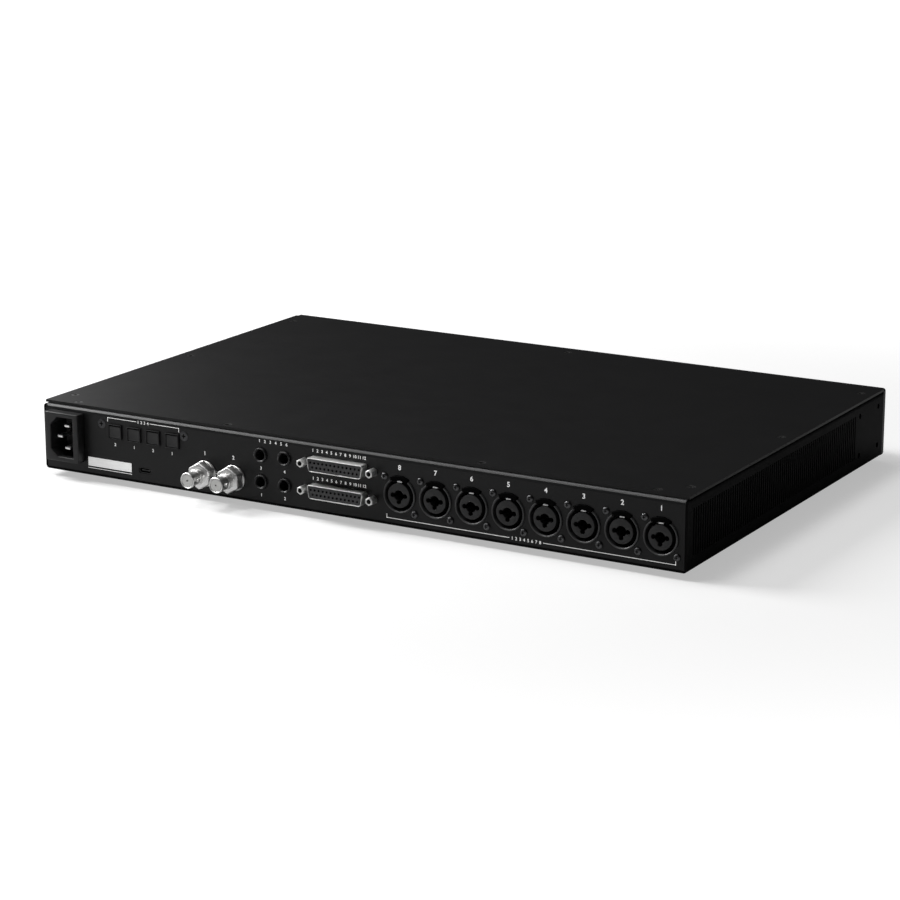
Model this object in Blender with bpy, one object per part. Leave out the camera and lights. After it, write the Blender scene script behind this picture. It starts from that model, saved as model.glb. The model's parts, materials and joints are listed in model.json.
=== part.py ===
"""Eight channel rack audio interface, one rack unit high, as a bench assembly.

Metres, +Z up. The connector side faces +Y and the control side faces -Y.
The origin is the middle of the rectangle that the feet stand on.
The case is sized round its connectors: its width is the row along the rear panel
and its height is the mains inlet with the metal above and below it.
"""

import math

import bmesh
import bpy
from mathutils import Matrix, Vector

# Clearance between two pieces that touch
FIT = 0.0003

# Case
CHASSIS_DEPTH = 0.2870
SHEET = 0.0012
BEND_RADIUS = 0.0020
PANEL_SHEET = 0.0020
PANEL_BEND_RADIUS = 0.0028
BEND_STEPS = 3
FLANGE_DEPTH = 0.0095
COVER_THICKNESS = 0.0015
COVER_REAR_INSET = 0.0020
FASCIA_THICKNESS = 0.0042
FASCIA_CORNER = 0.0016
FASCIA_EDGE = 0.0009

# Rubber feet
FOOT_HEIGHT = 0.0040
FOOT_RADIUS = 0.0085
FOOT_INSET = 0.0450

# Vent slots and rack ear holes in the side walls
SLOT_PITCH = 0.00298
SLOT_WIDTH = 0.0015
SLOT_HEIGHT = 0.0272
SLOT_SILL = 0.0081
SLOT_REAR_INSET = 0.0078
SLOT_EAR_GAP = 0.0070
EAR_HOLE_RADIUS = 0.0018
EAR_HOLE_FRONT = 0.0122
EAR_HOLE_STEP_Y = 0.0298
EAR_HOLE_LOW = 0.0090
EAR_HOLE_STEP_Z = 0.0249

# Countersunk cover screw holes
SCREW_HOLE_RADIUS = 0.0016
SCREW_SINK_RADIUS = 0.0030
SCREW_SIDE_INSET = 0.0084
SCREW_REAR_INSET = 0.0068
SCREW_FRONT_INSET = 0.0072
SCREW_OUTER_STEP = 0.0216
SCREW_INNER_STEP = 0.1320
SCREW_SIDE_REAR = 0.0206
SCREW_SIDE_FRONT = 0.0212
SCREW_SIDE_COUNT = 3

# Circuit boards
BOARD_THICKNESS = 0.0016
BOARD_LIFT = 0.0032
BOARD_WALL_GAP = 0.0030
MAIN_BOARD_DEPTH = 0.2000
POWER_BOARD_DEPTH = 0.1700
STANDOFF_RADIUS = 0.0030
STANDOFF_INSET = 0.0080
CONTROL_BOARD_GAP = 0.0090
CONTROL_BOARD_HEIGHT = 0.0300
CONTROL_BOARD_SILL = 0.0045
CONTROL_POST_RADIUS = 0.0027

# Mains inlet, three pin
INLET_MARGIN = 0.0032
INLET_WIDTH = 0.0271
INLET_HEIGHT = 0.0306
INLET_SILL = 0.0076
INLET_HEADROOM = 0.0048
INLET_PROUD = 0.0067
INLET_CORNER = 0.0006
INLET_CAVITY_WIDTH = 0.0170
INLET_CAVITY_HEIGHT = 0.0244
INLET_CAVITY_CHAMFER = 0.0050
INLET_CAVITY_DEPTH = 0.0165
INLET_WALL = 0.0022
INLET_BASE = 0.0030
BLADE_WIDTH = 0.0040
BLADE_THICKNESS = 0.0020
BLADE_RECESS = 0.0032
BLADE_STEP = 0.0070
EARTH_OFFSET = 0.0037
LINE_OFFSET = 0.0018

# Optical ports with a hinged dust shutter each
OPTICAL_GAP = 0.0193
PORT_COUNT = 4
PORT_WIDTH = 0.0095
PORT_HEIGHT = 0.0089
PORT_SPACE = 0.00465
PORT_WALL = 0.0008
PORT_PROUD = 0.0012
PORT_CAVITY_DEPTH = 0.0130
PORT_SILL = 0.0253
OPTICAL_BODY_END = 0.0030
OPTICAL_BODY_RIM = 0.0014
SHUTTER_THICKNESS = 0.0010
SHUTTER_RECESS = 0.0003

# Type C data socket
USB_WIDTH = 0.0089
USB_HEIGHT = 0.0032
USB_DEPTH = 0.0090
USB_WALL = 0.0003
USB_TONGUE = 0.0007
USB_RECESS = 0.0004
USB_TONGUE_WIDTH = 0.0062

# Bayonet clock jacks
BNC_GAP = 0.0072
BNC_SPACE = 0.0037
BNC_HEIGHT = 0.0127
BNC_LENGTH = 0.0190
BNC_FLANGE_RADIUS = 0.0084
BNC_FLANGE_THICKNESS = 0.0012
BNC_HEX_FLATS = 0.0145
BNC_HEX_LENGTH = 0.0050
BNC_COLLAR_RADIUS = 0.0060
BNC_COLLAR_LENGTH = 0.0016
BNC_BARREL_RADIUS = 0.0048
BNC_BARREL_WALL = 0.0008
BNC_CORE_RADIUS = 0.0033
BNC_CORE_DEPTH = 0.0060
BNC_CONTACT_RADIUS = 0.0008
BNC_LUG_RADIUS = 0.0009
BNC_LUG_PROUD = 0.0009
BNC_LUG_BACK = 0.0042
BNC_TAIL_RADIUS = 0.0045
BNC_TAIL_LENGTH = 0.0110

# Stacked jack sockets, two high
JACK_GAP = 0.0037
JACK_BODY_WIDTH = 0.0150
JACK_SPACE = 0.0016
JACK_BODY_DEPTH = 0.0280
JACK_BORE_DEPTH = 0.0260
JACK_BODY_RIM = 0.0030
JACK_ROW_STEP = 0.0164
JACK_HEIGHT = 0.0132
JACK_RING_RADIUS = 0.0043
JACK_BORE_RADIUS = 0.0032
JACK_PROUD = 0.0016

# Twenty five way sockets, two high
DSUB_GAP = 0.0041
DSUB_ROW_STEP = 0.0164
DSUB_HEIGHT = 0.0136
DSUB_FLANGE_WIDTH = 0.0530
DSUB_FLANGE_HEIGHT = 0.0122
DSUB_FLANGE_THICKNESS = 0.0010
DSUB_WIDTH = 0.0382
DSUB_TALL = 0.0082
DSUB_SLANT = 0.0014
DSUB_CORNER = 0.0024
DSUB_PROUD = 0.0060
DSUB_WALL = 0.0005
DSUB_LIP = 0.0004
DSUB_BACK = 0.0070
DSUB_PIN_STEP = 0.00276
DSUB_PIN_ROWS = 0.00284
DSUB_PIN_RADIUS = 0.0007
DSUB_PIN_DEPTH = 0.0040
DSUB_LONG_ROW = 13
JACKSCREW_STEP = 0.0470
JACKSCREW_FLATS = 0.0048
JACKSCREW_LENGTH = 0.0062
JACKSCREW_BORE = 0.0014
JACKSCREW_BORE_DEPTH = 0.0045
JACKSCREW_STUD_RADIUS = 0.0015

# Combination microphone and line sockets
COMBO_GAP = 0.0031
COMBO_COUNT = 8
COMBO_RING_RADIUS = 0.0105
COMBO_SHOULDER = 0.0006
COMBO_SPACE = 0.00148
COMBO_END = 0.0047
COMBO_HEIGHT = 0.0185
COMBO_PROUD = 0.0011
COMBO_BODY_DEPTH = 0.0250
COMBO_BODY_RIM = 0.0010
COMBO_GROOVE_OUTER = 0.0095
COMBO_GROOVE_INNER = 0.0072
COMBO_GROOVE_DEPTH = 0.0120
COMBO_BORE_RADIUS = 0.0032
COMBO_BORE_DEPTH = 0.0220
COMBO_LOBE_RADIUS = 0.0016
COMBO_LOBE_SIDE = 0.0044
COMBO_LOBE_LOW = 0.0038
COMBO_LOBE_DEPTH = 0.0080
COMBO_SEGMENTS = 16
LATCH_RADIUS = 0.0116
LATCH_INNER = 0.0088
LATCH_ANGLE = math.radians(33.0)
LATCH_STEPS = 3
LATCH_PROUD = 0.0009
LATCH_LENGTH = 0.0080
LATCH_TRAVEL = 0.0015
TONGUE_WIDTH = 0.0037
TONGUE_RECESS = 0.0012

# Controls on the fascia
FRONT_MARGIN = 0.0300
GAIN_COUNT = 8
GAIN_RADIUS = 0.0070
GAIN_LENGTH = 0.0120
GAIN_SPACE = 0.0110
BUTTON_COUNT = 4
BUTTON_WIDTH = 0.0090
BUTTON_HEIGHT = 0.0060
BUTTON_SPACE = 0.0060
BUTTON_PROUD = 0.0016
BUTTON_FLANGE = 0.0012
BUTTON_TRAVEL = 0.0008
BUTTON_STEM_RADIUS = 0.0015
BUTTON_CORNER = 0.0010
MONITOR_RADIUS = 0.0140
MONITOR_LENGTH = 0.0190
PHONES_COUNT = 2
PHONES_GAP = 0.0090
FRONT_GAP = 0.0140
KNOB_TAPER = 0.0007
KNOB_SHAFT_RADIUS = 0.0030
KNOB_SEGMENTS = 12
POINTER_WIDTH = 0.0010
POINTER_DEPTH = 0.0008
POWER_WIDTH = 0.0120
POWER_HEIGHT = 0.0120

# Places worked out from the sizes above
REAR_FACE = CHASSIS_DEPTH / 2
FRONT_FACE = -CHASSIS_DEPTH / 2
CASE_FRONT = FRONT_FACE + FASCIA_THICKNESS + FIT
CASE_FLOOR = FOOT_HEIGHT + FIT
CHASSIS_HEIGHT = INLET_SILL + INLET_HEIGHT + INLET_HEADROOM
CASE_TOP = CASE_FLOOR + CHASSIS_HEIGHT
TRAY_TOP = CASE_TOP - COVER_THICKNESS - FIT
FLOOR_TOP = CASE_FLOOR + SHEET
BOARD_TOP = FLOOR_TOP + FIT + BOARD_LIFT + BOARD_THICKNESS
BEHIND_PANEL = -PANEL_SHEET - FIT
PORT_PITCH = PORT_WIDTH + PORT_SPACE
OPTICAL_WIDTH = (PORT_COUNT - 1) * PORT_PITCH + PORT_WIDTH + 2 * OPTICAL_BODY_END
BNC_PITCH = 2 * BNC_FLANGE_RADIUS + BNC_SPACE
JACK_PITCH = JACK_BODY_WIDTH + JACK_SPACE
COMBO_BODY_WIDTH = 2 * (COMBO_RING_RADIUS + COMBO_SHOULDER)
COMBO_PITCH = COMBO_BODY_WIDTH + COMBO_SPACE

# Distances from the mains end of the rear panel, one connector group after another
INLET_ALONG = INLET_MARGIN + INLET_WIDTH / 2
OPTICAL_ALONG = INLET_MARGIN + INLET_WIDTH + OPTICAL_GAP + OPTICAL_WIDTH / 2 - OPTICAL_BODY_END
USB_ALONG = OPTICAL_ALONG
BNC_ALONG = OPTICAL_ALONG + OPTICAL_WIDTH / 2 + BNC_GAP + BNC_FLANGE_RADIUS
JACK_ALONG = BNC_ALONG + BNC_PITCH + BNC_FLANGE_RADIUS + JACK_GAP + JACK_BODY_WIDTH / 2
DSUB_ALONG = JACK_ALONG + JACK_PITCH + JACK_BODY_WIDTH / 2 + DSUB_GAP + DSUB_FLANGE_WIDTH / 2
COMBO_ALONG = DSUB_ALONG + DSUB_FLANGE_WIDTH / 2 + COMBO_GAP + COMBO_BODY_WIDTH / 2
COMBO_ROW_END = COMBO_ALONG + (COMBO_COUNT - 1) * COMBO_PITCH + COMBO_BODY_WIDTH / 2
CHASSIS_WIDTH = COMBO_ROW_END + COMBO_END
HALF_WIDTH = CHASSIS_WIDTH / 2

# Heights of the connector axes
INLET_Z = CASE_FLOOR + INLET_SILL + INLET_HEIGHT / 2
PORT_Z = CASE_FLOOR + PORT_SILL + PORT_HEIGHT / 2
USB_Z = BOARD_TOP + FIT + USB_HEIGHT / 2
BNC_Z = CASE_FLOOR + BNC_HEIGHT
JACK_Z = CASE_FLOOR + JACK_HEIGHT
DSUB_Z = CASE_FLOOR + DSUB_HEIGHT
COMBO_Z = CASE_FLOOR + COMBO_HEIGHT
FASCIA_Z = CASE_FLOOR + CHASSIS_HEIGHT / 2


def finish(name, colour, roughness, metallic=0.0):
    """A plain Principled material."""
    material = bpy.data.materials.new(name)
    material.use_nodes = True
    shader = material.node_tree.nodes["Principled BSDF"]
    shader.inputs["Base Color"].default_value = (*colour, 1.0)
    shader.inputs["Roughness"].default_value = roughness
    shader.inputs["Metallic"].default_value = metallic
    material.diffuse_color = (*colour, 1.0)
    return material


def add_piece(name, mesh, material, location=(0.0, 0.0, 0.0), turn=0.0):
    """One named object that may share its mesh with its copies."""
    piece = bpy.data.objects.new(name, mesh)
    if not mesh.materials:
        mesh.materials.append(material)
    piece.location = location
    piece.rotation_euler = (0.0, 0.0, turn)
    bpy.context.scene.collection.objects.link(piece)
    return piece


def to_mesh(shape):
    """Close a bmesh off as a mesh with its faces pointing out."""
    bmesh.ops.recalc_face_normals(shape, faces=shape.faces[:])
    mesh = bpy.data.meshes.new("shape")
    shape.to_mesh(mesh)
    shape.free()
    return mesh


def add_prism(shape, outline, axis, low, high):
    """Extrude a flat outline along X, Y or Z inside a bmesh."""
    slots = {"X": (1, 2, 0), "Y": (0, 2, 1), "Z": (0, 1, 2)}[axis]
    corners = []
    for across, up in outline:
        point = [0.0, 0.0, 0.0]
        point[slots[0]] = across
        point[slots[1]] = up
        point[slots[2]] = low
        corners.append(shape.verts.new(point))
    base = shape.faces.new(corners)
    grown = bmesh.ops.extrude_face_region(shape, geom=[base])
    moved = [part for part in grown["geom"] if isinstance(part, bmesh.types.BMVert)]
    step = [0.0, 0.0, 0.0]
    step[slots[2]] = high - low
    bmesh.ops.translate(shape, verts=moved, vec=step)


def prism(outline, axis, low, high):
    """A closed mesh extruded from one outline."""
    shape = bmesh.new()
    add_prism(shape, outline, axis, low, high)
    return to_mesh(shape)


def prisms(outlines, axis, low, high):
    """Several separate extrusions in one mesh."""
    shape = bmesh.new()
    for outline in outlines:
        add_prism(shape, outline, axis, low, high)
    return to_mesh(shape)


def turned(profile, segments, ring=False):
    """Spin a profile of (radius, y) points about the Y axis."""
    shape = bmesh.new()
    points = [shape.verts.new((radius, along, 0.0)) for radius, along in profile]
    pairs = list(zip(points, points[1:]))
    if ring:
        pairs.append((points[-1], points[0]))
    edges = [shape.edges.new(pair) for pair in pairs]
    bmesh.ops.spin(
        shape,
        geom=points + edges,
        cent=(0.0, 0.0, 0.0),
        axis=(0.0, 1.0, 0.0),
        angle=2 * math.pi,
        steps=segments,
        use_merge=True,
    )
    bmesh.ops.remove_doubles(shape, verts=shape.verts[:], dist=FIT / 100)
    return to_mesh(shape)


def rod(radius, low, high, segments):
    """A cylinder along the Y axis."""
    return turned([(0.0, high), (radius, high), (radius, low), (0.0, low)], segments)


def moved(mesh, offset):
    """Shift a mesh and hand it back."""
    mesh.transform(Matrix.Translation(Vector(offset)))
    return mesh


def joined(meshes):
    """Put separate closed shapes into one mesh."""
    shape = bmesh.new()
    for mesh in meshes:
        shape.from_mesh(mesh)
        bpy.data.meshes.remove(mesh)
    return to_mesh(shape)


def combine(base, tool, operation):
    """Boolean one mesh with another and apply the result."""
    target = bpy.data.objects.new("target", base)
    cutter = bpy.data.objects.new("cutter", tool)
    for each in (target, cutter):
        bpy.context.scene.collection.objects.link(each)
    step = target.modifiers.new("step", "BOOLEAN")
    step.operation = operation
    step.solver = "EXACT"
    step.object = cutter
    graph = bpy.context.evaluated_depsgraph_get()
    result = bpy.data.meshes.new_from_object(target.evaluated_get(graph))
    bpy.data.objects.remove(target)
    bpy.data.objects.remove(cutter)
    bpy.data.meshes.remove(base)
    bpy.data.meshes.remove(tool)
    return result


def cut(base, tool):
    return combine(base, tool, "DIFFERENCE")


def weld(base, tool):
    return combine(base, tool, "UNION")


def rounded(mesh, angle=35.0):
    """Shade a turned piece smooth and keep its hard edges."""
    mesh.shade_smooth()
    mesh.set_sharp_from_angle(angle=math.radians(angle))
    return mesh


def rectangle(left, right, low, high):
    return [(left, low), (right, low), (right, high), (left, high)]


def arc(radius, start, end, steps, centre=(0.0, 0.0)):
    """Points along an arc, both ends included."""
    points = []
    for index in range(steps + 1):
        angle = start + (end - start) * index / steps
        across = centre[0] + radius * math.cos(angle)
        points.append((across, centre[1] + radius * math.sin(angle)))
    return points


def circle(radius, segments, centre=(0.0, 0.0)):
    step = 2 * math.pi / segments
    return arc(radius, 0.0, 2 * math.pi - step, segments - 1, centre)


def soft_rectangle(width, height, corner, steps):
    """A rectangle about the origin with round corners."""
    points = []
    quarter = math.pi / 2
    signs = ((1, 1), (-1, 1), (-1, -1), (1, -1))
    for index, (across, up) in enumerate(signs):
        centre = (across * (width / 2 - corner), up * (height / 2 - corner))
        points += arc(corner, index * quarter, (index + 1) * quarter, steps, centre)
    return points


def hexagon(flats, centre=(0.0, 0.0)):
    return circle(flats / math.sqrt(3.0), 6, centre)


def folded(path, sheet, bend_radius):
    """Cross section of folded sheet metal whose outer side follows a path of left turns."""
    outer = [Vector(path[0])]
    headings = [(Vector(b) - Vector(a)).normalized() for a, b in zip(path, path[1:])]
    inward = [Vector((-heading.y, heading.x)) for heading in headings]
    inner = [Vector(path[0]) + sheet * inward[0]]
    for index, corner in enumerate(path[1:-1]):
        centre = Vector(corner) - bend_radius * headings[index] + bend_radius * inward[index]
        first = math.atan2(-inward[index].y, -inward[index].x)
        bend = range(BEND_STEPS + 1)
        for angle in (first + math.pi / 2 * step / BEND_STEPS for step in bend):
            ray = Vector((math.cos(angle), math.sin(angle)))
            outer.append(centre + bend_radius * ray)
            inner.append(centre + (bend_radius - sheet) * ray)
    outer.append(Vector(path[-1]))
    inner.append(Vector(path[-1]) + sheet * inward[-1])
    return [tuple(point) for point in outer + inner[::-1]]


def rear_place(along, height):
    """A point on the outer face of the rear panel."""
    return (HALF_WIDTH - along, REAR_FACE, height)


def make_tray(steel):
    """Floor and slotted side walls, folded from one sheet, with a lip along the top."""
    path = [
        (-HALF_WIDTH + FLANGE_DEPTH, TRAY_TOP),
        (-HALF_WIDTH, TRAY_TOP),
        (-HALF_WIDTH, CASE_FLOOR),
        (HALF_WIDTH, CASE_FLOOR),
        (HALF_WIDTH, TRAY_TOP),
        (HALF_WIDTH - FLANGE_DEPTH, TRAY_TOP),
    ]
    tray = prism(folded(path, SHEET, BEND_RADIUS), "Y", CASE_FRONT, REAR_FACE)
    reach = HALF_WIDTH + SHEET
    low = CASE_FLOOR + SLOT_SILL
    first_slot = REAR_FACE - SLOT_REAR_INSET
    last_ear_hole = FRONT_FACE + EAR_HOLE_FRONT + EAR_HOLE_STEP_Y
    slot_run = first_slot - last_ear_hole - SLOT_EAR_GAP
    slots = []
    for index in range(int(slot_run / SLOT_PITCH) + 1):
        middle = first_slot - index * SLOT_PITCH
        edges = (middle - SLOT_WIDTH / 2, middle + SLOT_WIDTH / 2)
        slots.append(rectangle(*edges, low, low + SLOT_HEIGHT))
    for row in range(2):
        for column in range(2):
            centre_y = FRONT_FACE + EAR_HOLE_FRONT + column * EAR_HOLE_STEP_Y
            centre_z = CASE_FLOOR + EAR_HOLE_LOW + row * EAR_HOLE_STEP_Z
            slots.append(circle(EAR_HOLE_RADIUS, 10, (centre_y, centre_z)))
    tray = cut(tray, prisms(slots, "X", -reach, reach))
    lip_end = REAR_FACE - FLANGE_DEPTH - FIT
    notch_top = TRAY_TOP + SHEET
    notch_low = TRAY_TOP - BEND_RADIUS - SHEET
    wall = HALF_WIDTH - SHEET - FIT / 2
    lip = HALF_WIDTH - FLANGE_DEPTH - SHEET
    notches = [rectangle(lip, wall, notch_low, notch_top)]
    notches.append(rectangle(-wall, -lip, notch_low, notch_top))
    tray = cut(tray, prisms(notches, "Y", lip_end, REAR_FACE + SHEET))
    add_piece("base_tray", tray, steel)


def combo_outline(grow):
    """The round socket with the wider latch notch at the top."""
    half = LATCH_ANGLE + grow / LATCH_RADIUS
    top = math.pi / 2
    body = arc(COMBO_RING_RADIUS + grow, top + half, top - half + 2 * math.pi, COMBO_SEGMENTS - 4)
    notch = arc(LATCH_RADIUS + grow, top - half, top + half, LATCH_STEPS)
    return body + notch


def dsub_outline(inset):
    """The D shape of a multi way socket, wide side up, with round corners."""
    half_top = DSUB_WIDTH / 2 - inset
    half_low = half_top - DSUB_SLANT
    half_tall = DSUB_TALL / 2 - inset
    corner = DSUB_CORNER - inset
    lean = math.atan2(DSUB_SLANT, 2 * half_tall)
    quarter = math.pi / 2
    top = (half_top - corner, half_tall - corner)
    low = (half_low - corner, corner - half_tall)
    right = arc(corner, -quarter, -lean, 2, low) + arc(corner, -lean, quarter, 2, top)
    left = [(-across, up) for across, up in reversed(right)]
    return right + left


def inlet_cavity(grow=0.0):
    """The keyed mouth of the mains inlet, cut off at its two corners on the earth side."""
    right = -INLET_CAVITY_WIDTH / 2 - grow
    left = INLET_CAVITY_WIDTH / 2 + grow
    top = INLET_CAVITY_HEIGHT / 2 + grow
    nick = INLET_CAVITY_CHAMFER
    low = [(right, -top), (left - nick, -top), (left, nick - top)]
    high = [(left, top - nick), (left - nick, top), (right, top)]
    return low + high


def shifted(outline, along, height):
    place = rear_place(along, height)
    return [(across + place[0], up + place[2]) for across, up in outline]


def port_along(index):
    return OPTICAL_ALONG + (index - (PORT_COUNT - 1) / 2) * PORT_PITCH


def make_rear_panel(steel):
    """Flat panel with every connector opening and a folded lip under the cover."""
    low = FLOOR_TOP + FIT
    path = [(REAR_FACE, low), (REAR_FACE, TRAY_TOP), (REAR_FACE - FLANGE_DEPTH, TRAY_TOP)]
    half = HALF_WIDTH - SHEET - FIT
    panel = prism(folded(path, PANEL_SHEET, PANEL_BEND_RADIUS), "X", -half, half)
    body = INLET_WALL + FIT
    holes = [shifted(inlet_cavity(body), INLET_ALONG, INLET_Z)]
    wide = PORT_WIDTH / 2 + FIT
    high = PORT_HEIGHT / 2 + FIT
    port = rectangle(-wide, wide, -high, high)
    for index in range(PORT_COUNT):
        holes.append(shifted(port, port_along(index), PORT_Z))
    mouth = soft_rectangle(USB_WIDTH + 2 * FIT, USB_HEIGHT + 2 * FIT, USB_HEIGHT / 2 + FIT, 4)
    holes.append(shifted(mouth, USB_ALONG, USB_Z))
    for index in range(2):
        tail = circle(BNC_TAIL_RADIUS + FIT, 12)
        holes.append(shifted(tail, BNC_ALONG + index * BNC_PITCH, BNC_Z))
        for row in range(2):
            ring = circle(JACK_RING_RADIUS + FIT, 14)
            holes.append(shifted(ring, JACK_ALONG + index * JACK_PITCH, JACK_Z + row * JACK_ROW_STEP))
    for row in range(2):
        height = DSUB_Z + row * DSUB_ROW_STEP
        holes.append(shifted(dsub_outline(-FIT), DSUB_ALONG, height))
        for side in (-1, 1):
            stud = circle(JACKSCREW_STUD_RADIUS + FIT, 8)
            holes.append(shifted(stud, DSUB_ALONG + side * JACKSCREW_STEP / 2, height))
    for index in range(COMBO_COUNT):
        holes.append(shifted(combo_outline(FIT), COMBO_ALONG + index * COMBO_PITCH, COMBO_Z))
    panel = cut(panel, prisms(holes, "Y", REAR_FACE - 2 * PANEL_SHEET, REAR_FACE + PANEL_SHEET))
    add_piece("rear_panel", panel, steel)


def cover_screw_places():
    """Where the cover is screwed down: the rear edge, both sides and the front middle."""
    rear = REAR_FACE - SCREW_REAR_INSET
    side = HALF_WIDTH - SCREW_SIDE_INSET
    places = [(0.0, CASE_FRONT + SCREW_FRONT_INSET)]
    step = (CHASSIS_DEPTH - SCREW_SIDE_REAR - SCREW_SIDE_FRONT) / (SCREW_SIDE_COUNT - 1)
    for sign in (-1, 1):
        places.append((sign * (HALF_WIDTH - SCREW_OUTER_STEP), rear))
        places.append((sign * (HALF_WIDTH - SCREW_INNER_STEP), rear))
        for index in range(SCREW_SIDE_COUNT):
            places.append((sign * side, REAR_FACE - SCREW_SIDE_REAR - index * step))
    return places


def make_cover(steel):
    """Flat lid with countersunk holes that lies on the folded lips."""
    low = CASE_TOP - COVER_THICKNESS
    edge = REAR_FACE - COVER_REAR_INSET
    lid = prism(rectangle(-HALF_WIDTH, HALF_WIDTH, CASE_FRONT, edge), "Z", low, CASE_TOP)
    over = SCREW_SINK_RADIUS - SCREW_HOLE_RADIUS
    slope = over / (COVER_THICKNESS / 2)
    profile = [
        (0.0, COVER_THICKNESS / 2),
        (SCREW_SINK_RADIUS + slope * COVER_THICKNESS / 2, COVER_THICKNESS / 2),
        (SCREW_HOLE_RADIUS, -COVER_THICKNESS / 2),
        (SCREW_HOLE_RADIUS, -2 * COVER_THICKNESS),
        (0.0, -2 * COVER_THICKNESS),
    ]
    upright = Matrix.Rotation(math.pi / 2, 4, "X")
    sinks = []
    for across, along in cover_screw_places():
        sink = turned(profile, 8)
        sink.transform(upright)
        sinks.append(moved(sink, (across, along, CASE_TOP)))
    add_piece("top_cover", cut(lid, joined(sinks)), steel)


def make_feet(rubber):
    """Four turned feet with a drawn in edge."""
    rim = FOOT_RADIUS - FOOT_HEIGHT / 4
    profile = [(0.0, FOOT_HEIGHT), (FOOT_RADIUS, FOOT_HEIGHT), (rim, 0.0), (0.0, 0.0)]
    foot = turned(profile, 12)
    foot.transform(Matrix.Rotation(math.pi / 2, 4, "X"))
    across = HALF_WIDTH - FOOT_INSET
    along = REAR_FACE - FOOT_INSET
    corners = ((-across, -along), (across, -along), (across, along), (-across, along))
    for number, (x, y) in enumerate(corners, 1):
        add_piece(f"foot_{number}", rounded(foot), rubber, (x, y, 0.0))


def make_inlet(plastic):
    """Moulded mains inlet: a thick bezel, a keyed cavity and three contact blades."""
    bezel = soft_rectangle(INLET_WIDTH, INLET_HEIGHT, INLET_CORNER, 2)
    inlet = prism(bezel, "Y", FIT, INLET_PROUD)
    back = INLET_PROUD - INLET_CAVITY_DEPTH
    tail = prism(inlet_cavity(INLET_WALL), "Y", back - INLET_BASE, INLET_PROUD / 2)
    inlet = weld(inlet, tail)
    inlet = cut(inlet, prism(inlet_cavity(), "Y", back, INLET_PROUD + SHEET))
    blade = (BLADE_WIDTH / 2, BLADE_THICKNESS / 2)
    blades = []
    for across, up in ((EARTH_OFFSET, 0.0), (-LINE_OFFSET, BLADE_STEP), (-LINE_OFFSET, -BLADE_STEP)):
        blades.append(rectangle(across - blade[0], across + blade[0], up - blade[1], up + blade[1]))
    inlet = weld(inlet, prisms(blades, "Y", back - INLET_BASE / 2, INLET_PROUD - BLADE_RECESS))
    add_piece("mains_inlet", inlet, plastic, rear_place(INLET_ALONG, INLET_Z))


def port_cavity():
    """Width and height of the inside of one optical port."""
    return (PORT_WIDTH - 2 * PORT_WALL, PORT_HEIGHT - 2 * PORT_WALL)


def make_optical(plastic, flap):
    """A moulded block of optical ports, each closed by a shutter that swings in and up."""
    half = OPTICAL_WIDTH / 2
    tall = PORT_HEIGHT / 2 + OPTICAL_BODY_RIM
    back = PORT_PROUD - PORT_CAVITY_DEPTH
    block = prism(rectangle(-half, half, -tall, tall), "Y", back - OPTICAL_BODY_RIM, BEHIND_PANEL)
    wide, high = port_cavity()
    bezels = []
    mouths = []
    for index in range(PORT_COUNT):
        across = (index - (PORT_COUNT - 1) / 2) * PORT_PITCH
        outer = (across - PORT_WIDTH / 2, across + PORT_WIDTH / 2)
        inner = (across - wide / 2, across + wide / 2)
        bezels.append(rectangle(*outer, -PORT_HEIGHT / 2, PORT_HEIGHT / 2))
        mouths.append(rectangle(*inner, -high / 2, high / 2))
    block = weld(block, prisms(bezels, "Y", BEHIND_PANEL - SHEET, PORT_PROUD))
    block = cut(block, prisms(mouths, "Y", back, PORT_PROUD + SHEET))
    add_piece("optical_block", block, plastic, rear_place(OPTICAL_ALONG, PORT_Z))
    edge = SHUTTER_THICKNESS / 2
    plate = arc(edge, 0.0, math.pi, 4) + [(-edge, edge + FIT - high + FIT), (edge, edge + FIT - high + FIT)]
    shutter = prism(plate, "X", FIT - wide / 2, wide / 2 - FIT)
    for index in range(PORT_COUNT):
        x, y, z = rear_place(port_along(index), PORT_Z)
        hinge = (x, y + PORT_PROUD - SHUTTER_RECESS - edge, z + high / 2 - FIT - edge)
        add_piece(f"optical_shutter_{index + 1}", shutter, flap, hinge)


def make_usb(metal):
    """Drawn shell of the data socket with its contact tongue."""
    front = -USB_RECESS
    shell = prism(soft_rectangle(USB_WIDTH, USB_HEIGHT, USB_HEIGHT / 2, 4), "Y", -USB_DEPTH, front)
    inner_high = USB_HEIGHT - 2 * USB_WALL
    inner = soft_rectangle(USB_WIDTH - 2 * USB_WALL, inner_high, inner_high / 2, 4)
    back = 2 * USB_WALL - USB_DEPTH
    shell = cut(shell, prism(inner, "Y", back, SHEET))
    half = USB_TONGUE_WIDTH / 2
    tongue = rectangle(-half, half, -USB_TONGUE / 2, USB_TONGUE / 2)
    shell = weld(shell, prism(tongue, "Y", back - USB_WALL, front - USB_TONGUE))
    add_piece("usb_socket", shell, metal, rear_place(USB_ALONG, USB_Z))


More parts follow.
